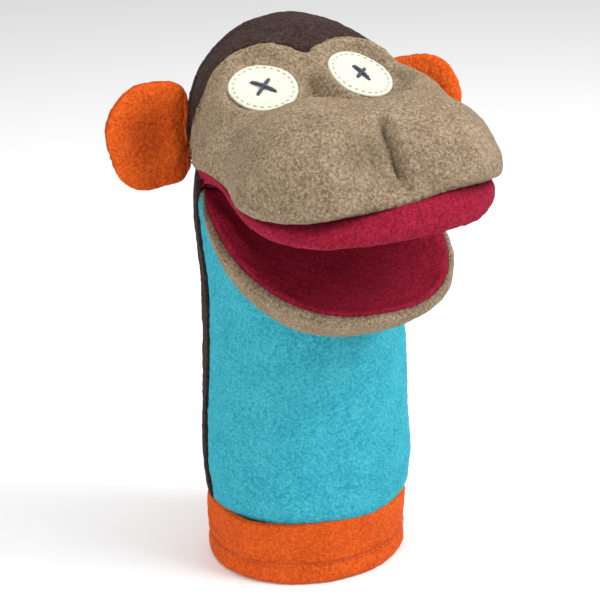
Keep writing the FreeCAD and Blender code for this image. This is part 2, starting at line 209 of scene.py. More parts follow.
def nap(grid: Array, depth: float | Array = 0.3, seed: int = 1) -> Array:
    """Raises the pile of fleece on a grid: each point moves along its normal by two sizes of noise.

    Args:
        grid: points in millimetres, shape (rows, columns, 3).
        depth: how high the pile stands, in millimetres, everywhere or at each point.
        seed: which of many patterns.

    Returns:
        The moved grid.
    """
    height = noise(grid, 1.9, seed) + 0.8 * noise(grid, 9.0, seed + 5)
    return grid + grid_normals(grid) * (depth * height)[..., None]


def bell(distance: Array, width: float) -> Array:
    """A smooth bump: one at no distance, falling to nothing past a few widths."""
    return np.exp(-((distance / width) ** 2))


def smooth(value: Array, low: float, high: float) -> Array:
    """Zero below low, one above high, and a smooth step between them."""
    part = np.clip((value - low) / (high - low), 0, 1)
    return part * part * (3 - 2 * part)


# ------------------------------------------------------------------ meshes


def to_mesh(name: str, points: Array, faces: Array) -> bpy.types.Object:
    """A smooth mesh object from points in millimetres and faces that list their corners.

    Args:
        name: the piece's name.
        points: shape (n, 3).
        faces: shape (m, 3) or (m, 4).

    Returns:
        The object, linked to the scene.
    """
    mesh = bpy.data.meshes.new(name)
    mesh.from_pydata((np.asarray(points, float) * MM).tolist(), [], np.asarray(faces).tolist())
    mesh.polygons.foreach_set("use_smooth", np.ones(len(mesh.polygons), bool))
    mesh.update()
    made = bpy.data.objects.new(name, mesh)
    bpy.context.scene.collection.objects.link(made)
    return made


def grid_faces(rows: int, columns: int, wrap: bool = False) -> Array:
    """Quads of a grid of points, row by row.

    Args:
        rows: rows of points.
        columns: columns of points.
        wrap: whether the last column joins the first.

    Returns:
        Corners, shape (m, 4), which face the way of grid_normals.
    """
    index = np.arange(rows * columns).reshape(rows, columns)
    if wrap:
        index = np.concatenate([index, index[:, :1]], axis=1)
    corners = (index[:-1, :-1], index[:-1, 1:], index[1:, 1:], index[1:, :-1])
    return np.stack([corner.ravel() for corner in corners], axis=1)


def merged(made: bpy.types.Object, distance: float = 0.02) -> bpy.types.Object:
    """Welds points that lie within a distance in millimetres, and drops faces without area."""
    work = bmesh.new()
    work.from_mesh(made.data)
    bmesh.ops.remove_doubles(work, verts=work.verts, dist=distance * MM)
    bmesh.ops.dissolve_degenerate(work, edges=work.edges, dist=0.002 * MM)
    work.to_mesh(made.data)
    work.free()
    made.data.polygons.foreach_set("use_smooth", np.ones(len(made.data.polygons), bool))
    return made


def faced_outwards(made: bpy.types.Object) -> bpy.types.Object:
    """Turns every face of a closed mesh outwards."""
    work = bmesh.new()
    work.from_mesh(made.data)
    bmesh.ops.recalc_face_normals(work, faces=work.faces)
    work.to_mesh(made.data)
    work.free()
    return made


def grid_mesh(name: str, grid: Array, wrap: bool = False, weld: float = 0.02) -> bpy.types.Object:
    """A welded mesh object from a grid of points, whose last column joins the first where it wraps."""
    return merged(to_mesh(name, grid.reshape(-1, 3), grid_faces(*grid.shape[:2], wrap)), weld)


def shaded(made: bpy.types.Object, values: Array) -> bpy.types.Object:
    """Stores painted shade on a mesh: how dark each point is, from zero to one, for its finish to read."""
    shade = made.data.attributes.new("shade", "FLOAT", "POINT")
    shade.data.foreach_set("value", np.clip(values, 0, 1).ravel())
    return made


def seam_shade(grid: Array, width: float = 1.3, depth: float = 0.5) -> Array:
    """Painted shade along the edges of a panel, where its pile dips into the seams.

    It is a bell of the distance to the nearest of the edge's points, every third of which is taken.

    Args:
        grid: points in millimetres, shape (rows, columns, 3).
        width: of the bell, in millimetres.
        depth: how dark the very edge is.

    Returns:
        One number for each point.
    """
    edge = np.concatenate([grid[0, ::3], grid[-1, ::3], grid[::3, 0], grid[::3, -1]])
    near = np.full(grid.shape[:2], 1e9)
    for part in np.array_split(edge, 8):
        near = np.minimum(near, ((grid[:, :, None] - part) ** 2).sum(-1).min(-1))
    return depth * bell(np.sqrt(near), width)


CLOTH_WELD = 0.28


def cloth(
    name: str, grid: Array, thickness: float, outside: Array | None = None, shade: Array | None = None
) -> bpy.types.Object:
    """A panel of cloth: the grid is its outer face and a Solidify modifier gives it thickness inwards.

    Args:
        name: the piece's name.
        grid: points in millimetres, shape (rows, columns, 3).
        thickness: in millimetres.
        outside: a point that the outer face looks away from; the grid is turned over if it looks towards it.
        shade: painted shade, how dark each point is; the edges get painted seam shade where it isn't given.

    Returns:
        The object.
    """
    # painted seam shade at the edges unless other painted shade is given
    shade = seam_shade(grid) if shade is None else shade
    if outside is not None and np.mean(np.sum(grid_normals(grid) * (grid - outside), axis=-1)) < 0:
        grid, shade = grid[:, ::-1], shade[:, ::-1]
    made = merged(shaded(to_mesh(name, grid.reshape(-1, 3), grid_faces(*grid.shape[:2])), shade), CLOTH_WELD)
    solid = made.modifiers.new("thickness", "SOLIDIFY")
    solid.thickness = thickness * MM
    solid.offset = -1
    solid.use_even_offset = False
    return made


def rods(name: str, starts: Array, ends: Array, radius: float, rises: Array) -> bpy.types.Object:
    """Many short stitches as one mesh: each a tube of six sides along a low arch from its start to its end.

    A point is the start plus a share of the run, plus rise times one minus the square of twice the share less
    one, plus the tube's circle, whose radius shrinks at both ends.

    Args:
        name: the piece's name.
        starts: shape (n, 3).
        ends: shape (n, 3).
        radius: of the thread, in millimetres.
        rises: the way and height that each stitch arches, shape (n, 3).

    Returns:
        The object.
    """
    rings, sides = 7, 6
    share = np.linspace(0, 1, rings)
    run = ends - starts
    along = run / np.linalg.norm(run, axis=1, keepdims=True)
    up = rises / np.linalg.norm(rises, axis=1, keepdims=True)
    side = np.cross(along, up)
    arch = 1 - (2 * share - 1) ** 2
    spine = starts[:, None] + run[:, None] * share[:, None] + rises[:, None] * arch[:, None]
    swell = radius * np.sqrt(np.clip(1 - (2 * share - 1) ** 6, 0.02, 1))
    angle = np.arange(sides) * 2 * np.pi / sides
    circle = np.cos(angle)[:, None] * side[:, None, None] + np.sin(angle)[:, None] * up[:, None, None]
    points = spine[:, :, None] + swell[None, :, None, None] * circle
    faces = grid_faces(rings, sides, wrap=True)
    caps = np.array([[0, 5, 4, 3], [3, 2, 1, 0]])
    caps = np.vstack([caps, caps[:, ::-1] + (rings - 1) * sides])
    one = np.vstack([faces, caps])
    shift = (np.arange(len(starts)) * rings * sides)[:, None, None]
    return to_mesh(name, points.reshape(-1, 3), (one[None] + shift).reshape(-1, 4))


def yarn(name: str, spines: Sequence[Array], radius: float, pitch: float) -> bpy.types.Object:
    """Twisted yarn strands: a tube round each spine whose radius swells twice round and turns along it.

    The radius is r times one plus 0.2 times the cosine of twice the angle less the turn that the length has
    made.

    Args:
        name: the piece's name.
        spines: centre lines, each of shape (n, 3).
        radius: in millimetres.
        pitch: length of one turn of the twist, in millimetres.

    Returns:
        The object.
    """
    sides, points, faces, base = 14, [], [], 0
    for spine in spines:
        tangent = np.gradient(spine, axis=0)
        tangent /= np.linalg.norm(tangent, axis=1, keepdims=True)
        side = np.cross(tangent, [0.0, 0.0, 1.0])
        side /= np.linalg.norm(side, axis=1, keepdims=True)
        up = np.cross(side, tangent)
        length = np.concatenate([[0], np.cumsum(np.linalg.norm(np.diff(spine, axis=0), axis=1))])
        angle = np.arange(sides) * 2 * np.pi / sides
        swell = 1 + 0.2 * np.cos(2 * (angle[None] - 2 * np.pi * length[:, None] / pitch))
        share = length / length[-1]
        taper = np.sqrt(np.clip(1 - (2 * share - 1) ** 8, 0.01, 1))
        reach = radius * swell * taper[:, None]
        ring = np.cos(angle)[None, :, None] * side[:, None] + np.sin(angle)[None, :, None] * up[:, None]
        points.append((spine[:, None] + reach[..., None] * ring).reshape(-1, 3))
        faces.append(grid_faces(len(spine), sides, wrap=True)[:, ::-1] + base)
        for row in (0, len(spine) - 1):
            lids = np.array([[i, i + 1, sides - 2 - i, sides - 1 - i] for i in range(sides // 2 - 1)])
            faces.append((lids if row == 0 else lids[:, ::-1]) + base + row * sides)
        base += len(spine) * sides
    return to_mesh(name, np.vstack(points), np.vstack(faces))


# ------------------------------------------------------------------ finishes


def blank_material(name: str) -> tuple[bpy.types.Material, bpy.types.NodeTree, bpy.types.Node]:
    """A new material, its node tree and its shader."""
    made = bpy.data.materials.new(name)
    made.use_nodes = True
    return made, made.node_tree, made.node_tree.nodes["Principled BSDF"]


def feed(tree: bpy.types.NodeTree, made: bpy.types.Node, inputs: dict) -> None:
    """Gives inputs of a node, by name or place, a plain value or a link from another node's socket."""
    for key, value in inputs.items():
        if isinstance(value, bpy.types.NodeSocket):
            tree.links.new(value, made.inputs[key])
        else:
            made.inputs[key].default_value = value


def node(tree: bpy.types.NodeTree, kind: str, inputs: dict | None = None, **settings: str) -> bpy.types.Node:
    """Adds a shader node.

    Args:
        tree: where to add it.
        kind: its type, without the words that every shader node's type starts with.
        inputs: what its inputs get, as in feed.
        settings: its own properties, by name.

    Returns:
        The node.
    """
    made = tree.nodes.new("ShaderNode" + kind)
    for key, value in settings.items():
        setattr(made, key, value)
    feed(tree, made, inputs or {})
    return made


@dataclass(frozen=True)
class Fleece:
    """Napped fleece: heathered fibre colours over a pilled, matte pile.

    Attributes:
        name: the material's name.
        dark: colour deep in the pile.
        middle: the main colour.
        light: colour of the fibre tips.
        sheen: how much the fibre tips catch light at a low angle.
        pill: size of the clumps of pile, in millimetres.
        depth: strength of the bump.
        fibre: size of the single tufts, in millimetres.
        drift: size of the slow changes of tone, in millimetres.
    """

    name: str
    dark: tuple[float, float, float]
    middle: tuple[float, float, float]
    light: tuple[float, float, float]
    sheen: float = 0.35
    pill: float = 1.4
    depth: float = 0.9
    fibre: float = 0.5
    drift: float = 13.0

    def material(self) -> bpy.types.Material:
        """Two sizes of noise, drifting over the cloth, choose the fibre colour and raise the pile; the painted
        shade stored on the mesh then darkens that colour.
        """
        found = bpy.data.materials.get(self.name)
        if found:
            return found
        made, tree, shader = blank_material(self.name)
        place = node(tree, "TexCoord").outputs["Object"]
        clumps = self._noise(tree, place, self.pill, 3.0)
        fibres = self._noise(tree, place, self.fibre, 4.0)
        drift = self._noise(tree, place, self.drift, 3.0)
        blend = node(tree, "Mix", {"Factor": 0.5, "A": clumps, "B": fibres}).outputs["Result"]
        shift = node(tree, "Math", {0: drift, 1: 0.16, 2: blend}, operation="MULTIPLY_ADD")
        ramp = node(tree, "ValToRGB", {"Fac": shift.outputs["Value"]})
        stops = ramp.color_ramp.elements
        stops[0].position, stops[0].color = 0.47, (*self.dark, 1)
        stops[1].position, stops[1].color = 0.69, (*self.light, 1)
        stops.new(0.58).color = (*self.middle, 1)
        # painted shade: the mesh's shade attribute darkens the base colour
        shade = node(tree, "Attribute", attribute_name="shade").outputs["Fac"]
        left = node(tree, "Math", {0: 1.0, 1: shade}, operation="SUBTRACT").outputs["Value"]
        darker = node(tree, "VectorMath", {0: ramp.outputs["Color"], "Scale": left}, operation="SCALE")
        bump = node(tree, "Bump", {"Strength": self.depth, "Distance": 1.2 * MM, "Height": blend})
        feed(
            tree,
            shader,
            {
                "Roughness": 0.95,
                "Specular IOR Level": 0.15,
                "Sheen Weight": self.sheen,
                "Sheen Roughness": 0.55,
                "Sheen Tint": (*self.light, 1),
                "Base Color": darker.outputs["Vector"],
                "Normal": bump.outputs["Normal"],
            },
        )
        return made

    @staticmethod
    def _noise(
        tree: bpy.types.NodeTree, place: bpy.types.NodeSocket, size: float, detail: float
    ) -> bpy.types.NodeSocket:
        """A noise on object coordinates, whose clumps have a size in millimetres."""
        values = {"Scale": 1 / (size * MM), "Detail": detail, "Roughness": 0.6, "Vector": place}
        return node(tree, "TexNoise", values).outputs["Fac"]


@dataclass(frozen=True)
class Thread:
    """Spun thread or yarn: two tones in fine diagonal bands."""

    name: str
    dark: tuple[float, float, float]
    light: tuple[float, float, float]

    def material(self) -> bpy.types.Material:
        """Diagonal bands of a wave choose the tone and raise the twist."""
        found = bpy.data.materials.get(self.name)
        if found:
            return found
        made, tree, shader = blank_material(self.name)
        place = node(tree, "TexCoord").outputs["Object"]
        values = {"Scale": 500.0, "Distortion": 3.0, "Vector": place}
        wave = node(tree, "TexWave", values, bands_direction="DIAGONAL").outputs["Fac"]
        ramp = node(tree, "ValToRGB", {"Fac": wave})
        ramp.color_ramp.elements[0].color = (*self.dark, 1)
        ramp.color_ramp.elements[1].color = (*self.light, 1)
        bump = node(tree, "Bump", {"Strength": 0.6, "Distance": 0.2 * MM, "Height": wave})
        sockets = {"Base Color": ramp.outputs["Color"], "Normal": bump.outputs["Normal"]}
        feed(tree, shader, {"Roughness": 0.7, "Sheen Weight": 0.2, **sockets})
        return made


class Finish:
    """The finishes of the puppet's own cloths and threads."""

    TURQUOISE = Fleece(
        "turquoise_fleece", (0.016, 0.24, 0.32), (0.035, 0.36, 0.46), (0.075, 0.46, 0.55), 0.12
    )
    BROWN = Fleece("brown_fleece", (0.020, 0.010, 0.009), (0.038, 0.022, 0.019), (0.070, 0.044, 0.038), 0.12)
    TAN = Fleece("tan_fleece", (0.13, 0.085, 0.047), (0.245, 0.180, 0.115), (0.40, 0.31, 0.21), 0.15)
    CRIMSON = Fleece(
        "crimson_fleece", (0.15, 0.003, 0.012), (0.265, 0.007, 0.028), (0.375, 0.017, 0.052), 0.08
    )
    ORANGE = Fleece("orange_fleece", (0.46, 0.048, 0.005), (0.62, 0.086, 0.009), (0.74, 0.135, 0.018), 0.12)
    RUST = Fleece("ear_fleece", (0.46, 0.045, 0.005), (0.66, 0.090, 0.008), (0.78, 0.150, 0.018), 0.12)
    FELT = Fleece("cream_felt", (0.50, 0.52, 0.41), (0.60, 0.62, 0.50), (0.70, 0.71, 0.60), 0.1, 0.8, 0.35)
    LINING = Fleece("pocket_cloth", (0.30, 0.29, 0.26), (0.46, 0.44, 0.40), (0.6, 0.58, 0.53), 0.1, 0.6, 0.3)
    WADDING = Fleece("wadding_fibre", (0.6, 0.6, 0.57), (0.8, 0.8, 0.77), (0.92, 0.92, 0.9), 0.3, 2.5, 1.0)
    BOARD = Fleece("stiffened_cloth", (0.35, 0.35, 0.33), (0.5, 0.5, 0.48), (0.62, 0.62, 0.6), 0.05, 0.5, 0.2)
    NAVY = Thread("navy_yarn", (0.010, 0.010, 0.024), (0.065, 0.065, 0.12))
    CREAM_THREAD = Thread("cream_thread", (0.40, 0.38, 0.27), (0.55, 0.52, 0.40))
    ORANGE_THREAD = Thread("orange_thread", (0.34, 0.05, 0.006), (0.6, 0.12, 0.014))
    BROWN_THREAD = Thread("brown_thread", (0.03, 0.018, 0.014), (0.1, 0.06, 0.05))


def sew(
    made: bpy.types.Object, finish: Fleece | Thread, slot: str, body: Body | None, *nodes: str
) -> bpy.types.Object:
    """Takes a piece into the puppet.

    Args:
        made: the piece.
        finish: its material.
        slot: its material's slot in the record; not used.
        body: the body that it rides on, or None, which leaves it unattached, for a piece that lies between two.
        nodes: the nodes that it stands for.

    Returns:
        The piece.
    """
    made.data.materials.clear()
    made.data.materials.append(finish.material())
    if body is not None:
        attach(made, body.value)
    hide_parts(*nodes)
    LOG.info("%s", made.name)
    return made


# ------------------------------------------------------------------ the head's rounded form


@dataclass(frozen=True)
class HeadForm:
    """The stuffed shape of the head: soft lumps that run into each other.

    Each lump is an ellipsoid. The form is where minus the logarithm of the sum of exp(-k e) is nothing, e
    being how far a point is outside each lump, so that neighbouring lumps flow together.
    """

    centre: Array = field(default_factory=lambda: np.array([0.0, -38.0, 214.0]))
    lumps: Array = field(
        default_factory=lambda: np.array(
            [
                (0, 13, 227, 50, 37, 49),  # skull
                (-24, -4, 231, 27, 25, 33),  # brows
                (24, -4, 231, 27, 25, 33),
                (0, -38, 208, 60, 40, 31),  # bridge
                (-38, -33, 219, 23, 36, 29),  # cheeks
                (38, -34, 222, 24, 38, 31),
                (-25, -82, 213, 36, 39, 40),  # the two halves of the muzzle
                (25, -82, 214, 35.5, 38.5, 39),
                (0, -74, 212, 50, 36, 36),
            ],
            float,
        )
    )
    softness: float = 9.0
    reach: float = 220.0

    def outside(self, points: Array) -> Array:
        """How far points are outside the form, negative inside it."""
        offset = (points[..., None, :] - self.lumps[:, :3]) / self.lumps[:, 3:]
        out = (np.sqrt((offset**2).sum(-1)) - 1) * self.lumps[:, 3:].mean(1) / 40
        return -np.log(np.exp(-self.softness * out).sum(-1)) / self.softness

    def towards(self, points: Array, lift: float | Array = 0.0) -> Array:
        """Puts points on the form, along the line from its centre, by halving an interval thirty times.

        Args:
            points: any points in the wanted directions, shape (..., 3).
            lift: how far outside the form to put them, in millimetres.

        Returns:
            Points of the same shape.
        """
        way = points - self.centre
        way = way / np.linalg.norm(way, axis=-1, keepdims=True)
        low = np.zeros(way.shape[:-1])
        high = np.full_like(low, self.reach)
        for _ in range(30):
            middle = (low + high) / 2
            inside = self.outside(self.centre + way * middle[..., None]) < 0
            low = np.where(inside, middle, low)
            high = np.where(inside, high, middle)
        return self.centre + way * (low + lift)[..., None]

    def slope(self, points: Array) -> Array:
        """The gradient of outside: the gradients of the lumps, averaged by how near each lump is."""
        offset = (points[..., None, :] - self.lumps[:, :3]) / self.lumps[:, 3:]
        length = np.maximum(np.sqrt((offset**2).sum(-1)), 1e-6)
        share = self.lumps[:, 3:].mean(1) / 40
        near = np.exp(-self.softness * (length - 1) * share)
        near /= near.sum(-1, keepdims=True)
        each = offset / (length[..., None] * self.lumps[:, 3:]) * share[:, None]
        return (near[..., None] * each).sum(-2)

    def nearest(self, points: Array, steps: int = 3) -> Array:
        """Moves points onto the form by Newton steps: back along the slope by the value over its square."""
        for _ in range(steps):
            slope = self.slope(points)
            points = points - (self.outside(points) / (slope**2).sum(-1))[..., None] * slope
        return points

    def patch(self, grid: Array, rows: int, columns: int, rounds: int = 130) -> Array:
        """An even grid on the form with a given edge.

        Each inner point of the coarse grid moves again and again to the mean of its four neighbours and back
        onto the form. The result is resampled, and put on the form once more.

        Args:
            grid: a coarse first guess, shape (k, m, 3); its edge is kept.
            rows: rows of the result.
            columns: columns of the result.
            rounds: how often the points move.

        Returns:
            The grid, shape (rows, columns, 3).
        """
        even = self.towards(grid)
        even[[0, -1]], even[:, [0, -1]] = grid[[0, -1]], grid[:, [0, -1]]
        for _ in range(rounds):
            mean = (even[2:, 1:-1] + even[:-2, 1:-1] + even[1:-1, 2:] + even[1:-1, :-2]) / 4
            even[1:-1, 1:-1] = self.nearest(mean, 1)
        fine = finer(even, rows, columns)
        on_form = self.nearest(fine)
        row, column = np.linspace(0, 1, rows)[:, None, None], np.linspace(0, 1, columns)[None, :, None]
        inner = smooth(np.minimum(row, 1 - row), 0.0, 0.06)
        inner = inner * smooth(np.minimum(column, 1 - column), 0.0, 0.03)
        return fine + (on_form - fine) * inner


FORM = HeadForm()
SAMPLES = 250
COARSE = slice(None, None, 3)

# Seam between the face and the upper lip, from the right corner of the mouth round to the left one.
LIP_SEAM = catmull_rom(
    [
        (-53, 7, 213), (-55.5, -18, 215), (-58, -42, 216.5), (-59.5, -62, 213.5), (-58.5, -80, 209.5),
        (-52, -99, 208), (-36, -113, 209), (-16, -120, 213), (0, -121.5, 217.5), (16, -121, 218.5),
        (36, -114, 217), (53, -99, 214.5), (60, -80, 213), (59.5, -62, 214), (58, -42, 216),
        (55.5, -18, 215), (53, 7, 213),
    ],
    SAMPLES,
)
# Lowest line of the upper lip.
LIP_LINE = catmull_rom(
    [
        (-50, 3, 200), (-52, -22, 205), (-54, -46, 207), (-55, -64, 203), (-54.5, -82, 199.5),
        (-50, -100, 198.5), (-36, -116, 198.5), (-17, -123, 199.5), (0, -125, 200.5), (17, -124, 201),
        (37, -117, 202), (51, -101, 204.5), (57, -80, 207), (57, -62, 208.5), (56, -46, 208),
        (52.5, -22, 205), (50, 3, 200),
    ],
    SAMPLES,
)
# Upper edge of the face panel, over the two lobes about the eyes.
FACE_TOP = catmull_rom(
    [
        (-53, 7, 213), (-55, 2, 219), (-56, -4, 226), (-56, -8.5, 232), (-54.8, -10, 237.5),
        (-52.3, -8, 243), (-48.5, -4.5, 249.5), (-44, -3, 255), (-37, -4, 261), (-27, -6, 266),
        (-18, -7, 267.5), (-10, -10, 266), (-4, -13, 263), (0, -14, 262), (4, -12, 264.5),
        (13, -9.5, 266.5), (24, -8, 266.5), (33, -6, 263.5), (41, -4.5, 259), (46, -5.5, 252.5),
        (50, -8, 246), (53.2, -10.5, 240), (55, -10.5, 235), (56, -6.5, 229), (55.5, 0, 221.5), (53, 7, 213),
    ],
    SAMPLES,
)


@dataclass
class Jaw:
    """The lower jaw's own frame: its origin on the hinge line, turned down by its slope."""

    y: float = 5.0
    z: float = 198.0
    slope: float = math.radians(21.0)

    def place(self, rows: Sequence[tuple[float, float, float]], rise: Sequence[float]) -> Array:
        """Points of the jaw, mirrored into a whole outline.

        Args:
            rows: distance in front of the hinge, half width and depth below the mouth plane.
            rise: how far each row is lifted after the turn.

        Returns:
            The outline from the right corner round the front to the left one.
        """
        run, wide, deep = np.array(rows, float).T
        y = self.y - run * math.cos(self.slope) + deep * math.sin(self.slope)
        z = self.z - run * math.sin(self.slope) - deep * math.cos(self.slope) + np.array(rise)
        right = np.stack([-wide, y, z], axis=1)
        left = np.stack([wide, y, z], axis=1)[-2::-1]
        return catmull_rom(np.vstack([right, left]), SAMPLES)


JAW = Jaw()
JAW_DROOP = (0, 0, 0, 0, -0.4, -1, -1.2, -1.2)
JAW_SEAM = JAW.place(
    [
        (2, 48, 0), (20, 52.5, 0), (44, 54, 0), (66, 51.5, 0),
        (85, 44, 0), (98, 33, 0), (106, 18, 0), (108, 0, 0),
    ],
    JAW_DROOP,
)
JAW_RIM = JAW.place(
    [
        (2, 49, 1), (20, 54, 2), (44, 56, 3.5), (66, 53.5, 5.5),
        (84, 46, 7), (97, 35, 8), (105, 19, 8.5), (107, 0, 8.5),
    ],
    JAW_DROOP,
)
# Seam between the chin and the front of the sleeve, hidden under the jaw.
THROAT_SEAM = catmull_rom(
    [
        (-50.5, 3, 196), (-50, -8, 184), (-47, -20, 172), (-40, -32, 160), (-28, -41, 150), (-14, -46, 144.5),
        (0, -47.5, 143), (14, -46, 144.5), (28, -41, 150), (40, -32, 160), (47, -20, 172), (50, -8, 184),
        (50.5, 3, 196),
    ],
    SAMPLES,
)


def hinge_line(half_width: float, y: float, z: float, count: int = SAMPLES) -> Array:
    """Points across the head at one depth and height, from right to left."""
    x = np.linspace(-half_width, half_width, count)
    return np.stack([x, np.full(count, y), np.full(count, z)], axis=1)


# ------------------------------------------------------------------ sleeve


@dataclass
class Sleeve:
    """The tube that the arm goes into: cuff, front panel, stitches and seams."""

    half_width: float = 50.0
    half_depth: float = 47.0
    hem: float = 11.0
    cloth: float = 2.6
    seam_y: float = 3.0

    def around(self, angle: Array, z: Array, grow: Array | float = 0.0) -> Array:
        """A point of the tube: an ellipse about the Z axis whose radius drifts slowly, as soft cloth does.

        Args:
            angle: about the Z axis from +X, in radians.
            z: height in millimetres.
            grow: how far outside the tube.

        Returns:
            Points, shape (..., 3).
        """
        angle, z, grow = np.broadcast_arrays(angle, z, grow)
        low = 1 - smooth(z, 40.0, 120.0)
        sway = 1.2 * np.sin(2 * angle + z / 31) + 0.8 * np.sin(3 * angle - z / 23 + 1.0)
        belly = 3.2 * low * bell(z - 52, 24) * np.clip(np.cos(angle + 0.5), 0, 1) ** 2
        flare = 1.5 * smooth(z, 140, 190) * np.abs(np.cos(angle)) ** 2
        ease = smooth(z, 30.0, 60.0) * (1 - smooth(z, 150.0, 190.0))
        reach = grow + sway * ease + belly + flare
        x = (self.half_width + reach) * np.cos(angle)
        y = (self.half_depth + reach) * np.sin(angle)
        return np.stack([x, y, z], axis=-1)

    def build_cuff(self) -> None:
        """The cuff: a closed profile of a padded band with a hem, carried round the ellipse of the sleeve."""
        outer = catmull_rom(
            [
                (-1.6, 33.4), (0.6, 31.5), (1.3, 26), (1.1, 18), (0.9, 13.2), (0.1, 11.0), (0.9, 8.8),
                (1.3, 5), (0.9, 1.6), (-1.2, 0.0), (-4.2, 0.5), (-5.6, 3.5), (-5.7, 9), (-4.6, 11.2),
                (-2.4, 12.5), (-2.3, 20), (-2.4, 28), (-2.6, 33.0), (-1.6, 33.4),
            ],
            150,
        )
        grow, height = outer[:, 0][:, None], outer[:, 1][:, None]
        turn = np.linspace(0, 2 * np.pi, 440, endpoint=False)[None]
        ripple = 0.5 * np.sin(7 * turn + 0.6) * smooth(height, 0, 8) + 0.9 * np.sin(2 * turn + 0.4)
        grid = self.around(turn, height + 0 * turn, grow + ripple)
        grid[..., 2] -= 1.3 * smooth(grid[..., 2], 24, 33) * np.cos(turn * 3 + 1.0)
        grid = np.concatenate([grid, grid[:, :1]], axis=1)
        raised = nap(grid, 0.28, 3)
        raised[:, -1] = raised[:, 0]
        raised[-1] = raised[0]
        raised[..., 2] = np.maximum(raised[..., 2], 0.0)
        made = grid_mesh("cuff", raised[:, :-1], wrap=True)
        sew(made, Finish.ORANGE, "fleece_orange", Body.SLEEVE, "cuff_band")

    def build_hem_stitches(self) -> None:
        """The row of stitches at the top of the hem, each lying in the dent that it pulls."""
        count, share = 92, 0.68
        step = 2 * np.pi / count
        start = np.arange(count) * step
        starts = self.around(start, np.full(count, 11.0), 0.75 + 0.9 * np.sin(2 * start + 0.4))
        finish = start + share * step
        ends = self.around(finish, np.full(count, 11.0), 0.75 + 0.9 * np.sin(2 * finish + 0.4))
        rise = starts * LEVEL
        rise = 0.3 * rise / np.linalg.norm(rise, axis=1, keepdims=True)
        made = rods("hem_stitches", starts, ends, 0.34, rise)
        sew(made, Finish.ORANGE_THREAD, "thread_orange", Body.SLEEVE, "cuff_hem_stitches")

    def build_front(self) -> None:
        """The front panel, from the cuff up to the chin's seam.

        A point lies a share of the way up from the cuff to the seam, on the tube, and runs into the seam at
        the top.
        """
        columns, rows = SAMPLES, 190
        right = math.pi + math.asin(-self.seam_y / self.half_depth)
        angle = np.linspace(right, 2 * np.pi - (right - math.pi), columns)
        tilt = np.unwrap(np.arctan2(THROAT_SEAM[:, 1] / self.half_depth, THROAT_SEAM[:, 0] / self.half_width))
        share = np.linspace(0, 1, rows)[:, None]
        base = 31.5 + 0.9 * np.cos(3 * angle + 1.0)
        turn = angle[None] + (tilt - angle)[None] * smooth(share, 0.2, 1.0)
        height = base[None] + (THROAT_SEAM[:, 2] - base)[None] * share
        tuck = -2.6 * bell((height - base[None]), 3.0) - 1.2 * bell(share - 1, 0.02)
        side = -1.6 * bell((angle - angle[0]) * 50, 2.2) - 1.6 * bell((angle - angle[-1]) * 50, 2.2)
        grid = self.around(turn, height, tuck + side[None] + 1.0)
        seam = THROAT_SEAM - grid[-1]
        grid = grid + seam[None] * smooth(share, 0.75, 1.0)[..., None]
        grid = nap(grid, 0.3, 7)
        made = cloth("sleeve_front_panel", grid, self.cloth, np.array([0.0, 0.0, 110.0]))
        sew(made, Finish.TURQUOISE, "fleece_turquoise", None, "sleeve_front", "throat_fold")
        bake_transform(made)

    def build_back(self) -> None:
        """The back panel: up the back of the sleeve, over the nape and onto the back of the head.

        The lower part is the tube, the upper part lies on the head's form, and rows near the nape are
        averaged.
        """
        columns, low_rows, high_rows = SAMPLES, 130, 90
        start = math.asin(self.seam_y / self.half_depth)
        angle = np.linspace(math.pi - start, start, columns)
        height = np.linspace(31.5, 196, low_rows)[:, None]
        base = 31.5 + 0.9 * np.cos(3 * angle + 1.0)
        height = base[None] + (height - 31.5) * (196 - base[None]) / (196 - 31.5)
        tuck = -2.6 * bell(height - base[None], 3.0)
        lower = self.around(angle[None] + 0 * height, height, tuck + 1.4)
        nape = self.around(angle, np.full(columns, 206.0), 0.5)
        seam = Crown().seam()
        share = np.linspace(0, 1, 25)[:, None, None]
        on_nape = nape[None, COARSE] * (1 - share)
        upper = FORM.patch(on_nape + seam[None, COARSE] * share, high_rows, columns)
        lift = -1.5 * bell(np.linspace(1, 0, high_rows)[:, None], 0.03)
        upper = upper + outward_normals(upper, FORM.centre) * lift[..., None]
        grid = np.concatenate([lower, upper], axis=0)
        for _ in range(60):
            near = 0.5 * bell(np.arange(len(grid)) - low_rows, 14.0)[1:-1, None, None]
            grid[1:-1] += near * (0.5 * (grid[2:] + grid[:-2]) - grid[1:-1])
        grid = nap(grid, 0.3, 11)
        made = cloth("back_panel", grid, self.cloth, np.array([0.0, -10.0, 150.0]))
        sew(made, Finish.BROWN, "fleece_brown", None, "sleeve_back", "nape_fold", "back_of_head")
        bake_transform(made)

    def build_side_seams(self) -> None:
        """The thread of the two side seams, as running stitches inside the sleeve."""
        z = np.arange(38.0, 184.0, 7.0)
        x = np.concatenate([np.full(len(z), -45.6), np.full(len(z), 45.6)])
        heights = np.concatenate([z, z])
        starts = np.stack([x, np.full(len(x), 3.5), heights], axis=1)
        ends = starts + np.array([0.0, 0.0, 5.0])
        rise = np.stack([-0.3 * np.sign(x), np.zeros(len(x)), np.zeros(len(x))], axis=1)
        made = rods("side_seam_threads", starts, ends, 0.35, rise)
        sew(made, Finish.BROWN_THREAD, "thread_brown", Body.SLEEVE, "side_seam_stitches")


# ------------------------------------------------------------------ upper head


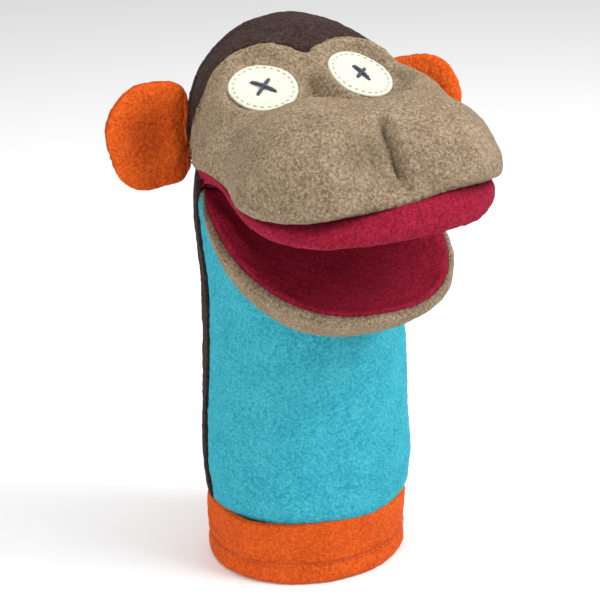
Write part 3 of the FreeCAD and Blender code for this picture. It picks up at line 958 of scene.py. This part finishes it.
@dataclass
class Crown:
    """The brown front of the head, between the seam over the crown and the face panel."""

    seam_y: float = 14.0
    cloth: float = 2.4

    def seam(self) -> Array:
        """The seam over the head: an arch in an upright plane, laid on the head's form."""
        angle = np.linspace(math.radians(180 + 14), math.radians(-14), SAMPLES)
        arch = np.stack([60 * np.cos(angle), np.full(SAMPLES, self.seam_y), 222 + 60 * np.sin(angle)], axis=1)
        arch[:, 1] += -6.0 * smooth(-np.sin(angle), -0.05, 0.25)
        on_form = FORM.towards(arch)
        on_form[:, 1] = arch[:, 1]
        return on_form

    def build(self) -> None:
        """A ruled patch from the seam over the crown to just under the face panel's edge."""
        rows = 120
        seam = self.seam()
        tab = np.array([0.0, -60.0, 236.0]) - FACE_TOP
        under = FACE_TOP + 2.5 * tab / np.linalg.norm(tab, axis=1, keepdims=True)
        share = np.linspace(0, 1, 25)[:, None, None]
        ruled = seam[None, COARSE] * (1 - share) + FORM.towards(under)[None, COARSE] * share
        grid = FORM.patch(ruled, rows, SAMPLES)
        share = np.linspace(0, 1, rows)[:, None]
        lift = -0.4 - 1.5 * bell(share, 0.035) - 3.4 * smooth(share, 0.86, 1.0)
        grid = grid + outward_normals(grid, FORM.centre) * lift[..., None]
        grid = nap(grid, 0.3, 13)
        made = cloth("crown", grid, self.cloth, FORM.centre)
        sew(made, Finish.BROWN, "fleece_brown", Body.HEAD, "crown_front")


@dataclass(frozen=True)
class EyeSeat:
    """The flat place on the face that an eye is sewn to.

    Attributes:
        name: which eye.
        middle: the eye's middle.
        out: the way that the eye looks.
        strokes: half length and turn, in degrees, of each of its two crossed stitches.
        flat: how far from the middle the face is pressed flat.
        free: how far from the middle it keeps its own height.
        pressed: the share of its height that it loses.
    """

    name: str
    middle: tuple[float, float, float]
    out: tuple[float, float, float]
    strokes: tuple[tuple[float, float], tuple[float, float]]
    flat: float = 16.8
    free: float = 25.0
    pressed: float = 0.97

    def axes(self) -> Array:
        """The seat's own axes as rows: towards the puppet's left, up the face, and out of it."""
        out = np.array(self.out) / np.linalg.norm(self.out)
        east = np.cross([0.0, 1.0, 0.0], out)
        east /= np.linalg.norm(east)
        return np.stack([east, np.cross(out, east), out])

    def seated(self, grid: Array) -> Array:
        """Presses a surface to the seat's plane, nearly flat round the middle and not at all far off."""
        local = (grid - np.array(self.middle)) @ self.axes().T
        away = np.linalg.norm(local[..., :2], axis=-1)
        share = self.pressed * (1 - smooth(away, self.flat, self.free)) * (np.abs(local[..., 2]) < 16)
        return grid - (share * local[..., 2])[..., None] * self.axes()[2]


EYES = (
    EyeSeat("right", (-28.9, -29.2, 249.9), (-0.118, -0.45, 0.885), ((7.2, -50.0), (7.2, 43.0))),
    EyeSeat("left", (20.2, -28.2, 251.3), (0.21, -0.47, 0.85), ((5.9, -56.0), (5.3, 51.0))),
)


# The dart down the middle of the muzzle, from its top to the lip.
DART = catmull_rom(
    [
        (2, -85, 252), (0.5, -94, 248), (-0.5, -102, 242),
        (-0.3, -109, 235), (0.6, -114, 226), (1.6, -119, 217),
    ],
    60,
)
# Soft hollows of the face, and bulges where the depth is negative: place, depth and width.
DENTS = (
    ((-12, -112, 233), 6.0, 11.0),
    ((-9, -99, 243), 3.0, 8.0),
    ((12, -110, 236), -1.6, 9.0),
    ((-46, -60, 236), -1.2, 14.0),
    ((40, -62, 243), -1.0, 14.0),
    ((-42, -96, 222), -2.0, 14.0),
    ((42, -96, 226), -1.4, 14.0),
    ((8, -64, 250), 0.6, 15.0),
    ((-14, -66, 249), -1.0, 15.0),
    ((28, -64, 250), 5.0, 14.0),
    ((-2, -44, 243), 2.4, 9.0),
    ((-30, -46, 243), 1.6, 9.0),
    ((24, -45, 244), 1.8, 9.0),
)


@dataclass
class Face:
    """The tan face panel: two lobes about the eyes and the padded muzzle with its dart."""

    cloth: float = 2.4
    lift: float = 1.0
    surface: Array = field(default_factory=lambda: np.zeros((0, 0, 3)))

    def grid(self) -> Array:
        """The panel's outer face: ruled between the lip seam and the upper edge, and laid on the form."""
        share = np.linspace(0, 1, 36)[:, None, None]
        ruled = LIP_SEAM[None, COARSE] * (1 - share) + FACE_TOP[None, COARSE] * share
        length = np.linalg.norm(FACE_TOP[COARSE] - LIP_SEAM[COARSE], axis=-1)[None, :, None]
        bow = np.sin(np.pi * share) * smooth(length, 25.0, 75.0) * 30.0 * UP
        return FORM.patch(ruled + bow, 175, SAMPLES)

    def from_dart(self, grid: Array) -> tuple[Array, Array]:
        """How far each point is from the dart, and how far along the dart it is, from zero to one."""
        near = np.sqrt(((grid[:, :, None, :] - DART[None, None]) ** 2).sum(-1))
        return near.min(-1), near.argmin(-1) / (len(DART) - 1)

    def dents(self, grid: Array) -> Array:
        """How far the cloth is pulled in: along the dart, beside it, at the edges and in soft folds."""
        distance, along = self.from_dart(grid)
        depth = smooth(along, 0.0, 0.25) * (3.4 - 2.6 * smooth(along, 0.75, 1.0))
        out = -0.45 * depth * bell(distance, 2.2) - 0.7 * depth * bell(distance, 0.9)
        out += 0.4 * depth * bell(distance - 5.0, 3.0)
        for place, deep, wide in DENTS:
            out -= deep * bell(np.linalg.norm(grid - np.array(place, float), axis=-1), wide)
        out += 0.7 * noise(grid, 22.0, 41)
        return out

    def build(self) -> None:
        """Builds the panel with its rounded edge."""
        grid = self.grid()
        distance, along = self.from_dart(grid)
        share = np.linspace(0, 1, len(grid))[:, None]
        around = np.linspace(0, 1, SAMPLES)[None]
        end = np.minimum(around, 1 - around)
        roll = -2.0 * bell(share - 1, 0.016) - 1.6 * bell(share, 0.02) - 1.5 * bell(end, 0.01)
        lift = self.lift + self.dents(grid) + roll
        grid = grid + outward_normals(grid, FORM.centre) * lift[..., None]
        for eye in EYES:
            grid = eye.seated(grid)
        self.surface = grid
        # painted shade: seam shade at the edges, and a dark line along the dart's crease
        shade = np.maximum(seam_shade(grid), 0.6 * bell(distance, 0.95) * smooth(along, 0.0, 0.2))
        # painted shade in the hollow left of the dart
        shade = shade + 0.2 * bell(np.linalg.norm(grid - np.array([-10.0, -107.0, 237.0]), axis=-1), 12.0)
        grid = nap(grid, 0.34 * smooth(end, 0.0, 0.02), 17)
        made = cloth("face", grid, self.cloth, FORM.centre, shade)
        sew(made, Finish.TAN, "fleece_tan", Body.HEAD, "face_panel")


@dataclass
class Eye:
    """One felt eye with its running stitch and crossed yarn stitches."""

    seat: EyeSeat
    face: Face
    radius: float = 16.0
    felt: float = 1.2

    @property
    def name(self) -> str:
        """Which of the two eyes this is."""
        return self.seat.name

    def local(self, across: Array, up: Array, lift: Array | float) -> Array:
        """Points above the face, given in the seat's own plane.

        The height of the face over the plane is the average of the nearby points of the face, each weighed by
        a bell of its distance.

        Args:
            across: places along the plane, towards the puppet's left.
            up: places up the plane.
            lift: heights above the face.

        Returns:
            Points, shape (..., 3).
        """
        middle, axes = np.array(self.seat.middle), self.seat.axes()
        seen = (self.face.surface.reshape(-1, 3) - middle) @ axes.T
        seen = seen[(np.abs(seen[:, :2]).max(1) < 20) & (np.abs(seen[:, 2]) < 12)]
        wanted = np.stack([across, up], -1).reshape(-1, 1, 2)
        weight = np.exp(-((wanted - seen[None, :, :2]) ** 2).sum(-1) / 6.0)
        height = ((weight @ seen[:, 2]) / weight.sum(1)).reshape(np.shape(across)) + lift
        return middle + np.stack([across, up, height], -1) @ axes

    def build(self) -> None:
        """A polar grid whose profile runs from the middle over the rounded edge and back under it."""
        angle = np.linspace(0, 2 * np.pi, 120, endpoint=False)[None]
        profile = catmull_rom(
            np.array(
                [(0.01, 1.35, 0), (4, 1.35, 0), (8, 1.33, 0), (12, 1.3, 0), (14.2, 1.2, 0), (15.6, 1.2, 0),
                 (16.1, 0.7, 0), (15.9, 0.2, 0), (12, 0.1, 0), (6, 0.1, 0), (0.01, 0.1, 0)]
            ),
            60,
        )
        wobble = 1 + 0.012 * np.sin(3 * angle + 1) + 0.008 * np.sin(5 * angle)
        reach = profile[:, 0][:, None] * wobble
        puff = 0.06 * noise(np.stack([reach * np.cos(angle), reach * np.sin(angle), 0 * reach], -1), 2.4, 23)
        dent = -0.22 * bell(reach - 14.0, 0.7)
        top = (profile[:, 1][:, None] > 0.5).astype(float)
        lift = profile[:, 1][:, None] + (puff + dent) * top
        grid = self.local(reach * np.cos(angle), reach * np.sin(angle), lift)
        made = grid_mesh(self.name + "_eye_felt", grid, wrap=True, weld=0.05)
        sew(made, Finish.FELT, "felt_cream", Body.HEAD, self.name + "_eye_patch")
        self._build_edge_stitches()
        self._build_cross()

    def _build_edge_stitches(self) -> None:
        """A running stitch just inside the patch's edge."""
        count, share = 26, 0.55
        start = np.arange(count) * 2 * np.pi / count + 0.1
        finish = start + share * 2 * np.pi / count
        starts = self.local(14 * np.cos(start), 14 * np.sin(start), 1.18)
        ends = self.local(14 * np.cos(finish), 14 * np.sin(finish), 1.18)
        rise = self.local(14 * np.cos(start), 14 * np.sin(start), 1.36) - starts
        made = rods(self.name + "_eye_stitches", starts, ends, 0.26, rise)
        sew(made, Finish.CREAM_THREAD, "thread_cream", Body.HEAD, self.name + "_eye_edge_stitches")

    def _build_cross(self) -> None:
        """Two crossed strands of yarn, each a low arch that dives into the felt at its ends."""
        share = np.linspace(-1, 1, 60)
        spines = []
        for (half, degrees), height in zip(self.seat.strokes, (0.75, 0.15)):
            turn = math.radians(degrees)
            across, up = half * share * math.cos(turn), half * share * math.sin(turn)
            lift = 1.45 + height * (1 - share**2) - 1.6 * np.abs(share) ** 9
            spines.append(self.local(across, up, lift))
        made = yarn(self.name + "_eye_cross", spines, 0.85, 3.2)
        sew(made, Finish.NAVY, "yarn_navy", Body.HEAD, self.name + "_eye_cross_stitch")


@dataclass
class Mouth:
    """The crimson lining of the mouth, its fold, and the tan chin."""

    cloth: float = 2.4

    def build_upper(self) -> None:
        """The palate and upper lip: a loft from the face's seam over the rolled lip to the hinge line."""
        inward = np.array([0.0, -60.0, 0.0]) - LIP_LINE * LEVEL
        inward /= np.linalg.norm(inward, axis=1, keepdims=True)
        share = np.linspace(0, 1, SAMPLES)[:, None]
        body = smooth(share, 0.0, 0.14) * (1 - smooth(share, 0.86, 1.0))
        root = hinge_line(47.0, 3.6, 200.2)
        hidden = LIP_SEAM + (5.0 * inward + 0.4 * UP) * body
        crease = LIP_SEAM + (2.4 * inward - UP) * body
        upper = 0.68 * LIP_SEAM + 0.32 * LIP_LINE - 1.0 * body * inward
        lower = 0.25 * LIP_SEAM + 0.75 * LIP_LINE - 1.6 * body * inward
        low = LIP_LINE + 1.4 * body * inward
        behind = LIP_LINE + (5.5 * inward + 2.2 * UP) * body
        far = LIP_LINE + (13.0 * inward + 4.0 * UP) * body
        palate = 0.5 * far + 0.5 * root + 1.2 * UP * body
        grid = loft([hidden, crease, upper, lower, low, behind, far, palate, root], 160)
        droop = 0.6 * noise(grid, 26.0, 29)[..., None] * UP
        grid = nap(grid + droop * body[None], 0.3 * body[None, :, 0], 19)
        made = cloth("upper_lip_and_palate", grid, self.cloth, np.array([0.0, -60.0, 225.0]))
        sew(made, Finish.CRIMSON, "fleece_crimson", Body.HEAD, "upper_mouth_lining")

    def build_lower(self) -> None:
        """The lower lining: a loft from the chin's seam over a soft edge into the mouth and to the hinge."""
        inward = np.array([0.0, -55.0, 0.0]) - JAW_SEAM * LEVEL
        inward /= np.linalg.norm(inward, axis=1, keepdims=True)
        share = np.linspace(0, 1, SAMPLES)[:, None]
        body = smooth(share, 0.0, 0.12) * (1 - smooth(share, 0.88, 1.0))
        up = np.array([0.0, -math.sin(JAW.slope), math.cos(JAW.slope)])
        seam = JAW_SEAM - 0.8 * body * up
        edge = JAW_SEAM + (2.6 * inward + 1.5 * up) * body
        shelf = JAW_SEAM + (9.0 * inward + 1.0 * up) * body
        dish = 0.55 * shelf + 0.45 * hinge_line(47.5, 2.6, 197.0) - 2.4 * body * up
        root = hinge_line(47.0, 3.6, 195.9)
        grid = loft([seam, 0.5 * (seam + edge) - 0.7 * body * inward, edge, shelf, dish, root], 150)
        droop = 0.6 * noise(grid, 24.0, 31)[..., None] * up
        grid = nap(grid + droop * body[None], 0.3 * body[None, :, 0], 21)
        made = cloth("lower_palate", grid, self.cloth, np.array([0.0, -60.0, 60.0]))
        sew(made, Finish.CRIMSON, "fleece_crimson", Body.JAW, "lower_mouth_lining")

    def build_chin(self) -> None:
        """The chin: a loft from the lower lining's seam round the rim and under the jaw to the throat."""
        outward = JAW_SEAM * LEVEL - np.array([0.0, -50.0, 0.0])
        outward /= np.linalg.norm(outward, axis=1, keepdims=True)
        share = np.linspace(0, 1, SAMPLES)[:, None]
        body = smooth(share, 0.0, 0.12) * (1 - smooth(share, 0.88, 1.0))
        seam = JAW_SEAM - 0.6 * UP
        upper = 0.6 * JAW_SEAM + 0.4 * JAW_RIM + 1.6 * body * outward
        lower = JAW_RIM + 1.0 * body * outward
        under = 0.62 * JAW_RIM + 0.38 * THROAT_SEAM - 7.0 * UP * body
        near = 0.25 * JAW_RIM + 0.75 * THROAT_SEAM - np.array([0, 2.0, 4.5]) * body
        grid = loft([seam, upper, lower, under, near, THROAT_SEAM - 0.5 * UP], 120)
        grid = nap(grid, 0.32 * body[None, :, 0], 27)
        made = cloth("chin", grid, self.cloth, np.array([0.0, -50.0, 175.0]))
        sew(made, Finish.TAN, "fleece_tan", Body.JAW, "chin_panel")

    def build_fold(self) -> None:
        """The crease of the lining: a soft roll about the hinge line, with rounded ends."""
        share = np.linspace(-1, 1, 160)
        angle = np.linspace(0, 2 * np.pi, 40, endpoint=False)
        reach = 2.9 * np.sqrt(np.clip(1 - np.abs(share) ** 14, 0.002, 1))[:, None]
        spine = np.stack([47.5 * share, np.full(160, 5.0), np.full(160, 198.0)], axis=1)
        ring = np.stack([np.zeros(40), np.cos(angle), np.sin(angle)], axis=1)
        grid = spine[:, None] + reach[..., None] * ring[None]
        grid = grid + ring[None] * (0.25 * noise(grid, 2.2, 33))[..., None]
        made = grid_mesh("mouth_crease", grid, wrap=True)
        sew(made, Finish.CRIMSON, "fleece_crimson", Body.SLEEVE, "mouth_fold")


@dataclass
class Ear:
    """One padded ear, cupped forwards and gathered into the seam of the head."""

    name: str
    side: int
    body: Body
    seam_x: float = 52.0
    middle: tuple[float, float, float] = (71.0, 14.0, 223.0)

    def grid(self) -> Array:
        """The closed pad: a polar grid over the front and the back of a rounded outline.

        The outline is a rounded oblong, squarer along the seam. The half thickness is the square root of one
        minus a power of the distance from the middle, and the middle of the front is pushed in.
        """
        rings, sides = 70, 220
        turn = np.linspace(0, 2 * np.pi, sides, endpoint=False)[None]
        share = np.linspace(0.0, 2.0, 2 * rings)[:, None]
        front = share <= 1
        rho = np.where(front, share, 2 - share)
        rho = np.clip(rho, 0.002, 1)
        wide = np.where(np.cos(turn) > 0, 22.5, 20.5)
        power = np.where(np.cos(turn) > 0, 2.2, 4.6)
        edge = (np.abs(np.cos(turn) / wide) ** power + np.abs(np.sin(turn) / 26.5) ** power) ** (-1 / power)
        edge = edge * (1 + 0.018 * np.sin(5 * turn + 0.7) + 0.012 * np.sin(3 * turn))
        across, up = rho * edge * np.cos(turn), rho * edge * np.sin(turn)
        thick = 6.4 * np.sqrt(np.clip(1 - rho**3.2, 0, 1))
        root = smooth(-across, 9.0, 19.0)
        thick = thick * (1 - 0.25 * root)
        cup = -4.2 * rho**2 * smooth(across, -14, 8)
        hollow = 4.8 * bell(np.sqrt((across + 1) ** 2 + (up - 2) ** 2), 11.0) * front
        swell = -1.8 * bell(np.sqrt((across + 13) ** 2 + (up + 8) ** 2), 6.0) * front
        depth = np.where(front, -thick, thick) + cup + hollow + swell + 1.5
        x, y, z = self.middle
        return np.stack([self.side * (x + across), y + depth, z + up], -1)

    def build(self) -> None:
        """Builds the ear with its sewn edge and its gathered root."""
        grid = self.grid()
        rings, sides = grid.shape[:2]
        closed = np.concatenate([grid, grid[:, :1]], axis=1)
        normals = grid_normals(closed)
        place = np.linspace(0, 2, rings)[:, None]
        edge = -0.9 * bell(place - 1.0, 0.015)
        height = 0.32 * (noise(closed, 1.9, 37) + 0.8 * noise(closed, 9.0, 39)) * (1 - bell(place, 0.03))
        outwards = np.sign(np.mean(np.sum(normals * (closed - closed.mean((0, 1))), axis=-1)))
        closed = closed + normals * outwards * (edge + height)[..., None]
        closed[:, -1] = closed[:, 0]
        faces = grid_faces(rings, sides, wrap=True)
        made = to_mesh(self.name + "_ear_pad", closed[:, :-1].reshape(-1, 3), faces)
        made = faced_outwards(merged(shaded(made, self.shade(grid)), 0.3))
        nodes = [self.name + "_ear_" + part for part in ("front", "back", "filling")]
        sew(made, Finish.RUST, "fleece_orange", self.body, *nodes)
        self._build_root()

    def shade(self, grid: Array) -> Array:
        """Painted shade on the ear: in its cupped middle, along the seam round its edge, and along its side at
        the root.
        """
        across, up = self.side * grid[..., 0] - self.middle[0], grid[..., 2] - self.middle[2]
        place = np.linspace(0, 2, len(grid))[:, None]
        # painted shade in the cupped middle of the front, along the sewn edge and along the side at the root
        cup = 0.34 * bell(np.sqrt((across - 1) ** 2 + (0.8 * up) ** 2), 13.0) * (place < 1)
        return cup + 0.35 * bell(place - 1.0, 0.02) + 0.3 * bell(across + 20, 3.5)

    def _build_root(self) -> None:
        """The gathered roll where the ear is caught in the seam: an upright roll with soft pleats."""
        up = np.linspace(-1, 1, 90)[:, None]
        turn = np.linspace(0, 2 * np.pi, 48, endpoint=False)[None]
        reach = 2.7 * np.clip(1 - np.abs(up) ** 5, 0.003, 1) ** 0.5 * (1 + 0.08 * np.sin(14 * up + 2 * turn))
        x = self.side * (self.seam_x + 1.0 + reach * np.cos(turn))
        grid = np.stack([x, 15 + reach * np.sin(turn), 222.5 + 20.0 * up + 0 * turn], -1)
        made = faced_outwards(grid_mesh(self.name + "_ear_gather", grid, wrap=True, weld=0.05))
        sew(made, Finish.RUST, "fleece_orange", Body.HEAD, self.name + "_ear_root")


@dataclass
class Inside:
    """What the hand meets: the wadding, the mouth boards, the finger pocket and the thumb loop."""

    board: float = 1.6
    lining: float = 1.1

    def build(self) -> None:
        """Builds the hidden pieces on simple lofts."""
        self._build_wadding()
        self._build_boards()
        self._build_tube(
            "pocket_for_fingers", "finger_pocket", Body.HEAD, slope=2.0, level=24.5, span=(9.0, 97.0),
            half=(40.0, 9.5), closed=True, flat=(0.172, 0.088), area=0.0146,
        )
        self._build_tube(
            "loop_for_thumb", "thumb_loop", Body.JAW, slope=-21.0, level=-17.5, span=(26.0, 47.0),
            half=(22.0, 7.5), closed=False, flat=(0.099, 0.021), area=0.0020,
        )

    @staticmethod
    def _build_tube(
        name: str, node: str, body: Body, slope: float, level: float, span: tuple[float, float],
        half: tuple[float, float], closed: bool, flat: tuple[float, float], area: float,
    ) -> None:
        """A flattened tube of thin cloth in front of the hinge line, sewn shut at its far end or open.

        Args:
            name: the piece's name.
            node: the node it stands for.
            body: the body it rides on.
            slope: how it rises forwards, in degrees.
            level: height of its middle over the sloping plane through the hinge line.
            span: where it starts and ends along the slope.
            half: half its width and half its height.
            closed: whether its far end is sewn flat.
            flat: width and length of the cloth it's made from, in metres; not used.
            area: area of that cloth, in square metres; not used.
        """
        turn = np.linspace(0, 2 * np.pi, 121)[None]
        along = np.linspace(0, 1, 70)[:, None]
        lean = math.radians(slope)
        forward = np.array([0, -math.cos(lean), math.sin(lean)])
        upward = np.array([0, math.sin(lean), math.cos(lean)])
        squeeze = 1 - smooth(along, 0.72, 1.0) * (0.86 if closed else 0.0)
        narrow = 1 - smooth(along, 0.6, 1.0) * (0.14 if closed else 0.0)
        x = half[0] * narrow * np.sign(np.cos(turn)) * np.abs(np.cos(turn)) ** 0.9
        z = level + half[1] * squeeze * np.sign(np.sin(turn)) * np.abs(np.sin(turn)) ** 0.8
        middle = np.array([0.0, 5.0, 198.0]) + forward * (span[0] + (span[1] - span[0]) * along)[..., None]
        grid = middle + x[..., None] * np.array([1.0, 0, 0]) + z[..., None] * upward
        puff = 0.5 * noise(grid, 13.0, 61)
        puff[:, -1] = puff[:, 0]
        grid = grid + puff[..., None] * upward
        made = cloth(name, grid, Inside.lining, grid.mean((0, 1)), np.zeros(grid.shape[:2]))
        sew(made, Finish.LINING, "lining_cloth", body, node)

    def _build_wadding(self) -> None:
        """The wadding: two layers of the head's form, one inside the other, joined round their lower edge."""
        turn = np.linspace(0, 2 * np.pi, 90, endpoint=False)[None]
        tilt = np.radians(np.linspace(14, 89.9, 40))[:, None]
        level = np.cos(tilt)
        way = np.stack([level * np.cos(turn), level * np.sin(turn), np.sin(tilt) + 0 * turn], -1)
        skin = FORM.towards(FORM.centre + way)
        away = np.min([np.linalg.norm(skin - np.array(eye.middle), axis=-1) for eye in EYES], axis=0)
        eased = 10.0 * (1 - smooth(away, 23.0, 36.0))
        outer = FORM.towards(FORM.centre + way, lift=-10.0 - eased)
        inner = FORM.towards(FORM.centre + way, lift=-15.5 - eased)
        grid = np.concatenate([outer[::-1], inner], axis=0)
        made = faced_outwards(grid_mesh("head_wadding", grid, wrap=True, weld=0.4))
        sew(made, Finish.WADDING, "wadding", Body.HEAD, "head_filling")

    def _build_boards(self) -> None:
        """The stiffeners of the palate and the jaw: plates of the linings' outlines, a little smaller."""
        for name, node, outline, lift, body in (
            ("upper_board", "upper_mouth_board", LIP_LINE, 7.5, Body.HEAD),
            ("lower_board", "lower_mouth_board", JAW_SEAM, -8.0, Body.JAW),
        ):
            level = float(np.interp(48.0, -outline[: SAMPLES // 2, 1], outline[: SAMPLES // 2, 2]))
            middle = np.array([0.0, -48.0, level])
            rim = middle + 0.8 * (outline - middle) + lift * UP
            back = hinge_line(38.0, -6.0, float(rim[0, 2]))
            top = loft([rim, back], 12)
            grid = np.concatenate([top, top[::-1] + self.board * UP], axis=0)
            grid = np.concatenate([grid, grid[:1]], axis=0)
            made = faced_outwards(grid_mesh(name, grid, weld=0.05))
            sew(made, Finish.BOARD, "stiffener", body, node)


# ------------------------------------------------------------------ studio


@dataclass
class Studio:
    """A plain pale floor, soft light and the camera."""

    azimuth: float = math.radians(-22.0)
    elevation: float = math.radians(19.0)
    distance: float = 0.900
    target: tuple[float, float, float] = (0.0, 0.0, 0.140)
    lens: float = 108.3
    roll: float = math.radians(-1.2)
    shift: tuple[float, float] = (-0.0033, -0.02)

    def build(self) -> None:
        """Builds everything round the puppet."""
        self._build_floor()
        self._build_lights()
        self._build_camera()

    def _build_floor(self) -> None:
        """A wide pale floor."""
        side = 6.0
        corners = [(-side, -side, 0), (side, -side, 0), (side, side, 0), (-side, side, 0)]
        mesh = bpy.data.meshes.new("floor")
        mesh.from_pydata(corners, [], [(0, 1, 2, 3)])
        floor = bpy.data.objects.new("floor", mesh)
        bpy.context.scene.collection.objects.link(floor)
        made = bpy.data.materials.new("pale_floor")
        made.use_nodes = True
        shader = made.node_tree.nodes["Principled BSDF"]
        shader.inputs["Base Color"].default_value = (0.92, 0.92, 0.92, 1)
        shader.inputs["Roughness"].default_value = 0.9
        mesh.materials.append(made)

    def _build_lights(self) -> None:
        """A pale sky and three large soft lamps."""
        world = bpy.data.worlds.new("studio")
        world.use_nodes = True
        world.node_tree.nodes["Background"].inputs["Color"].default_value = (1.0, 1.0, 1.0, 1)
        world.node_tree.nodes["Background"].inputs["Strength"].default_value = 0.62
        bpy.context.scene.world = world
        bpy.context.scene.view_settings.view_transform = "Standard"
        for name, place, power, size in (
            ("key", (0.75, -0.65, 1.05), 17.0, 0.7),
            ("fill", (-1.1, -0.5, 0.5), 6.0, 0.9),
            ("top", (0.0, 0.2, 1.4), 7.0, 1.0),
        ):
            data = bpy.data.lights.new(name, "AREA")
            data.energy, data.size = power, size
            lamp = bpy.data.objects.new(name, data)
            lamp.location = place
            lamp.rotation_euler = (Vector((0, 0, 0.15)) - Vector(place)).to_track_quat("-Z", "Y").to_euler()
            bpy.context.scene.collection.objects.link(lamp)

    def _build_camera(self) -> None:
        """The camera on its sphere about the target, with a slight roll."""
        data = bpy.data.cameras.new("camera")
        data.lens, data.sensor_width = self.lens, 36.0
        data.shift_x, data.shift_y = self.shift
        camera = bpy.data.objects.new("camera", data)
        level = math.cos(self.elevation)
        east, north = math.cos(self.azimuth), math.sin(self.azimuth)
        away = Vector((north * level, -east * level, math.sin(self.elevation)))
        right = Vector((east, north, 0))
        up = away.cross(right)
        turned_right = right * math.cos(self.roll) + up * math.sin(self.roll)
        turned_up = up * math.cos(self.roll) - right * math.sin(self.roll)
        camera.matrix_world = Matrix.Translation(Vector(self.target) + away * self.distance) @ (
            Matrix((turned_right, turned_up, away)).transposed().to_4x4()
        )
        bpy.context.scene.collection.objects.link(camera)
        bpy.context.scene.camera = camera


def main() -> None:
    """Builds the studio and every sub-assembly in order."""
    logging.basicConfig(level=logging.INFO, format="%(message)s")
    Studio().build()
    sleeve, face, mouth = Sleeve(), Face(), Mouth()
    for step in (
        sleeve.build_cuff, sleeve.build_hem_stitches, sleeve.build_front, sleeve.build_back,
        sleeve.build_side_seams, Crown().build, face.build,
        Eye(EYES[0], face).build, Eye(EYES[1], face).build,
        mouth.build_upper, mouth.build_lower, mouth.build_chin, mouth.build_fold,
        Ear("right", -1, Body.RIGHT_EAR).build, Ear("left", 1, Body.LEFT_EAR).build,
        Inside().build,
    ):
        step()


if __name__ == "__main__":
    main()
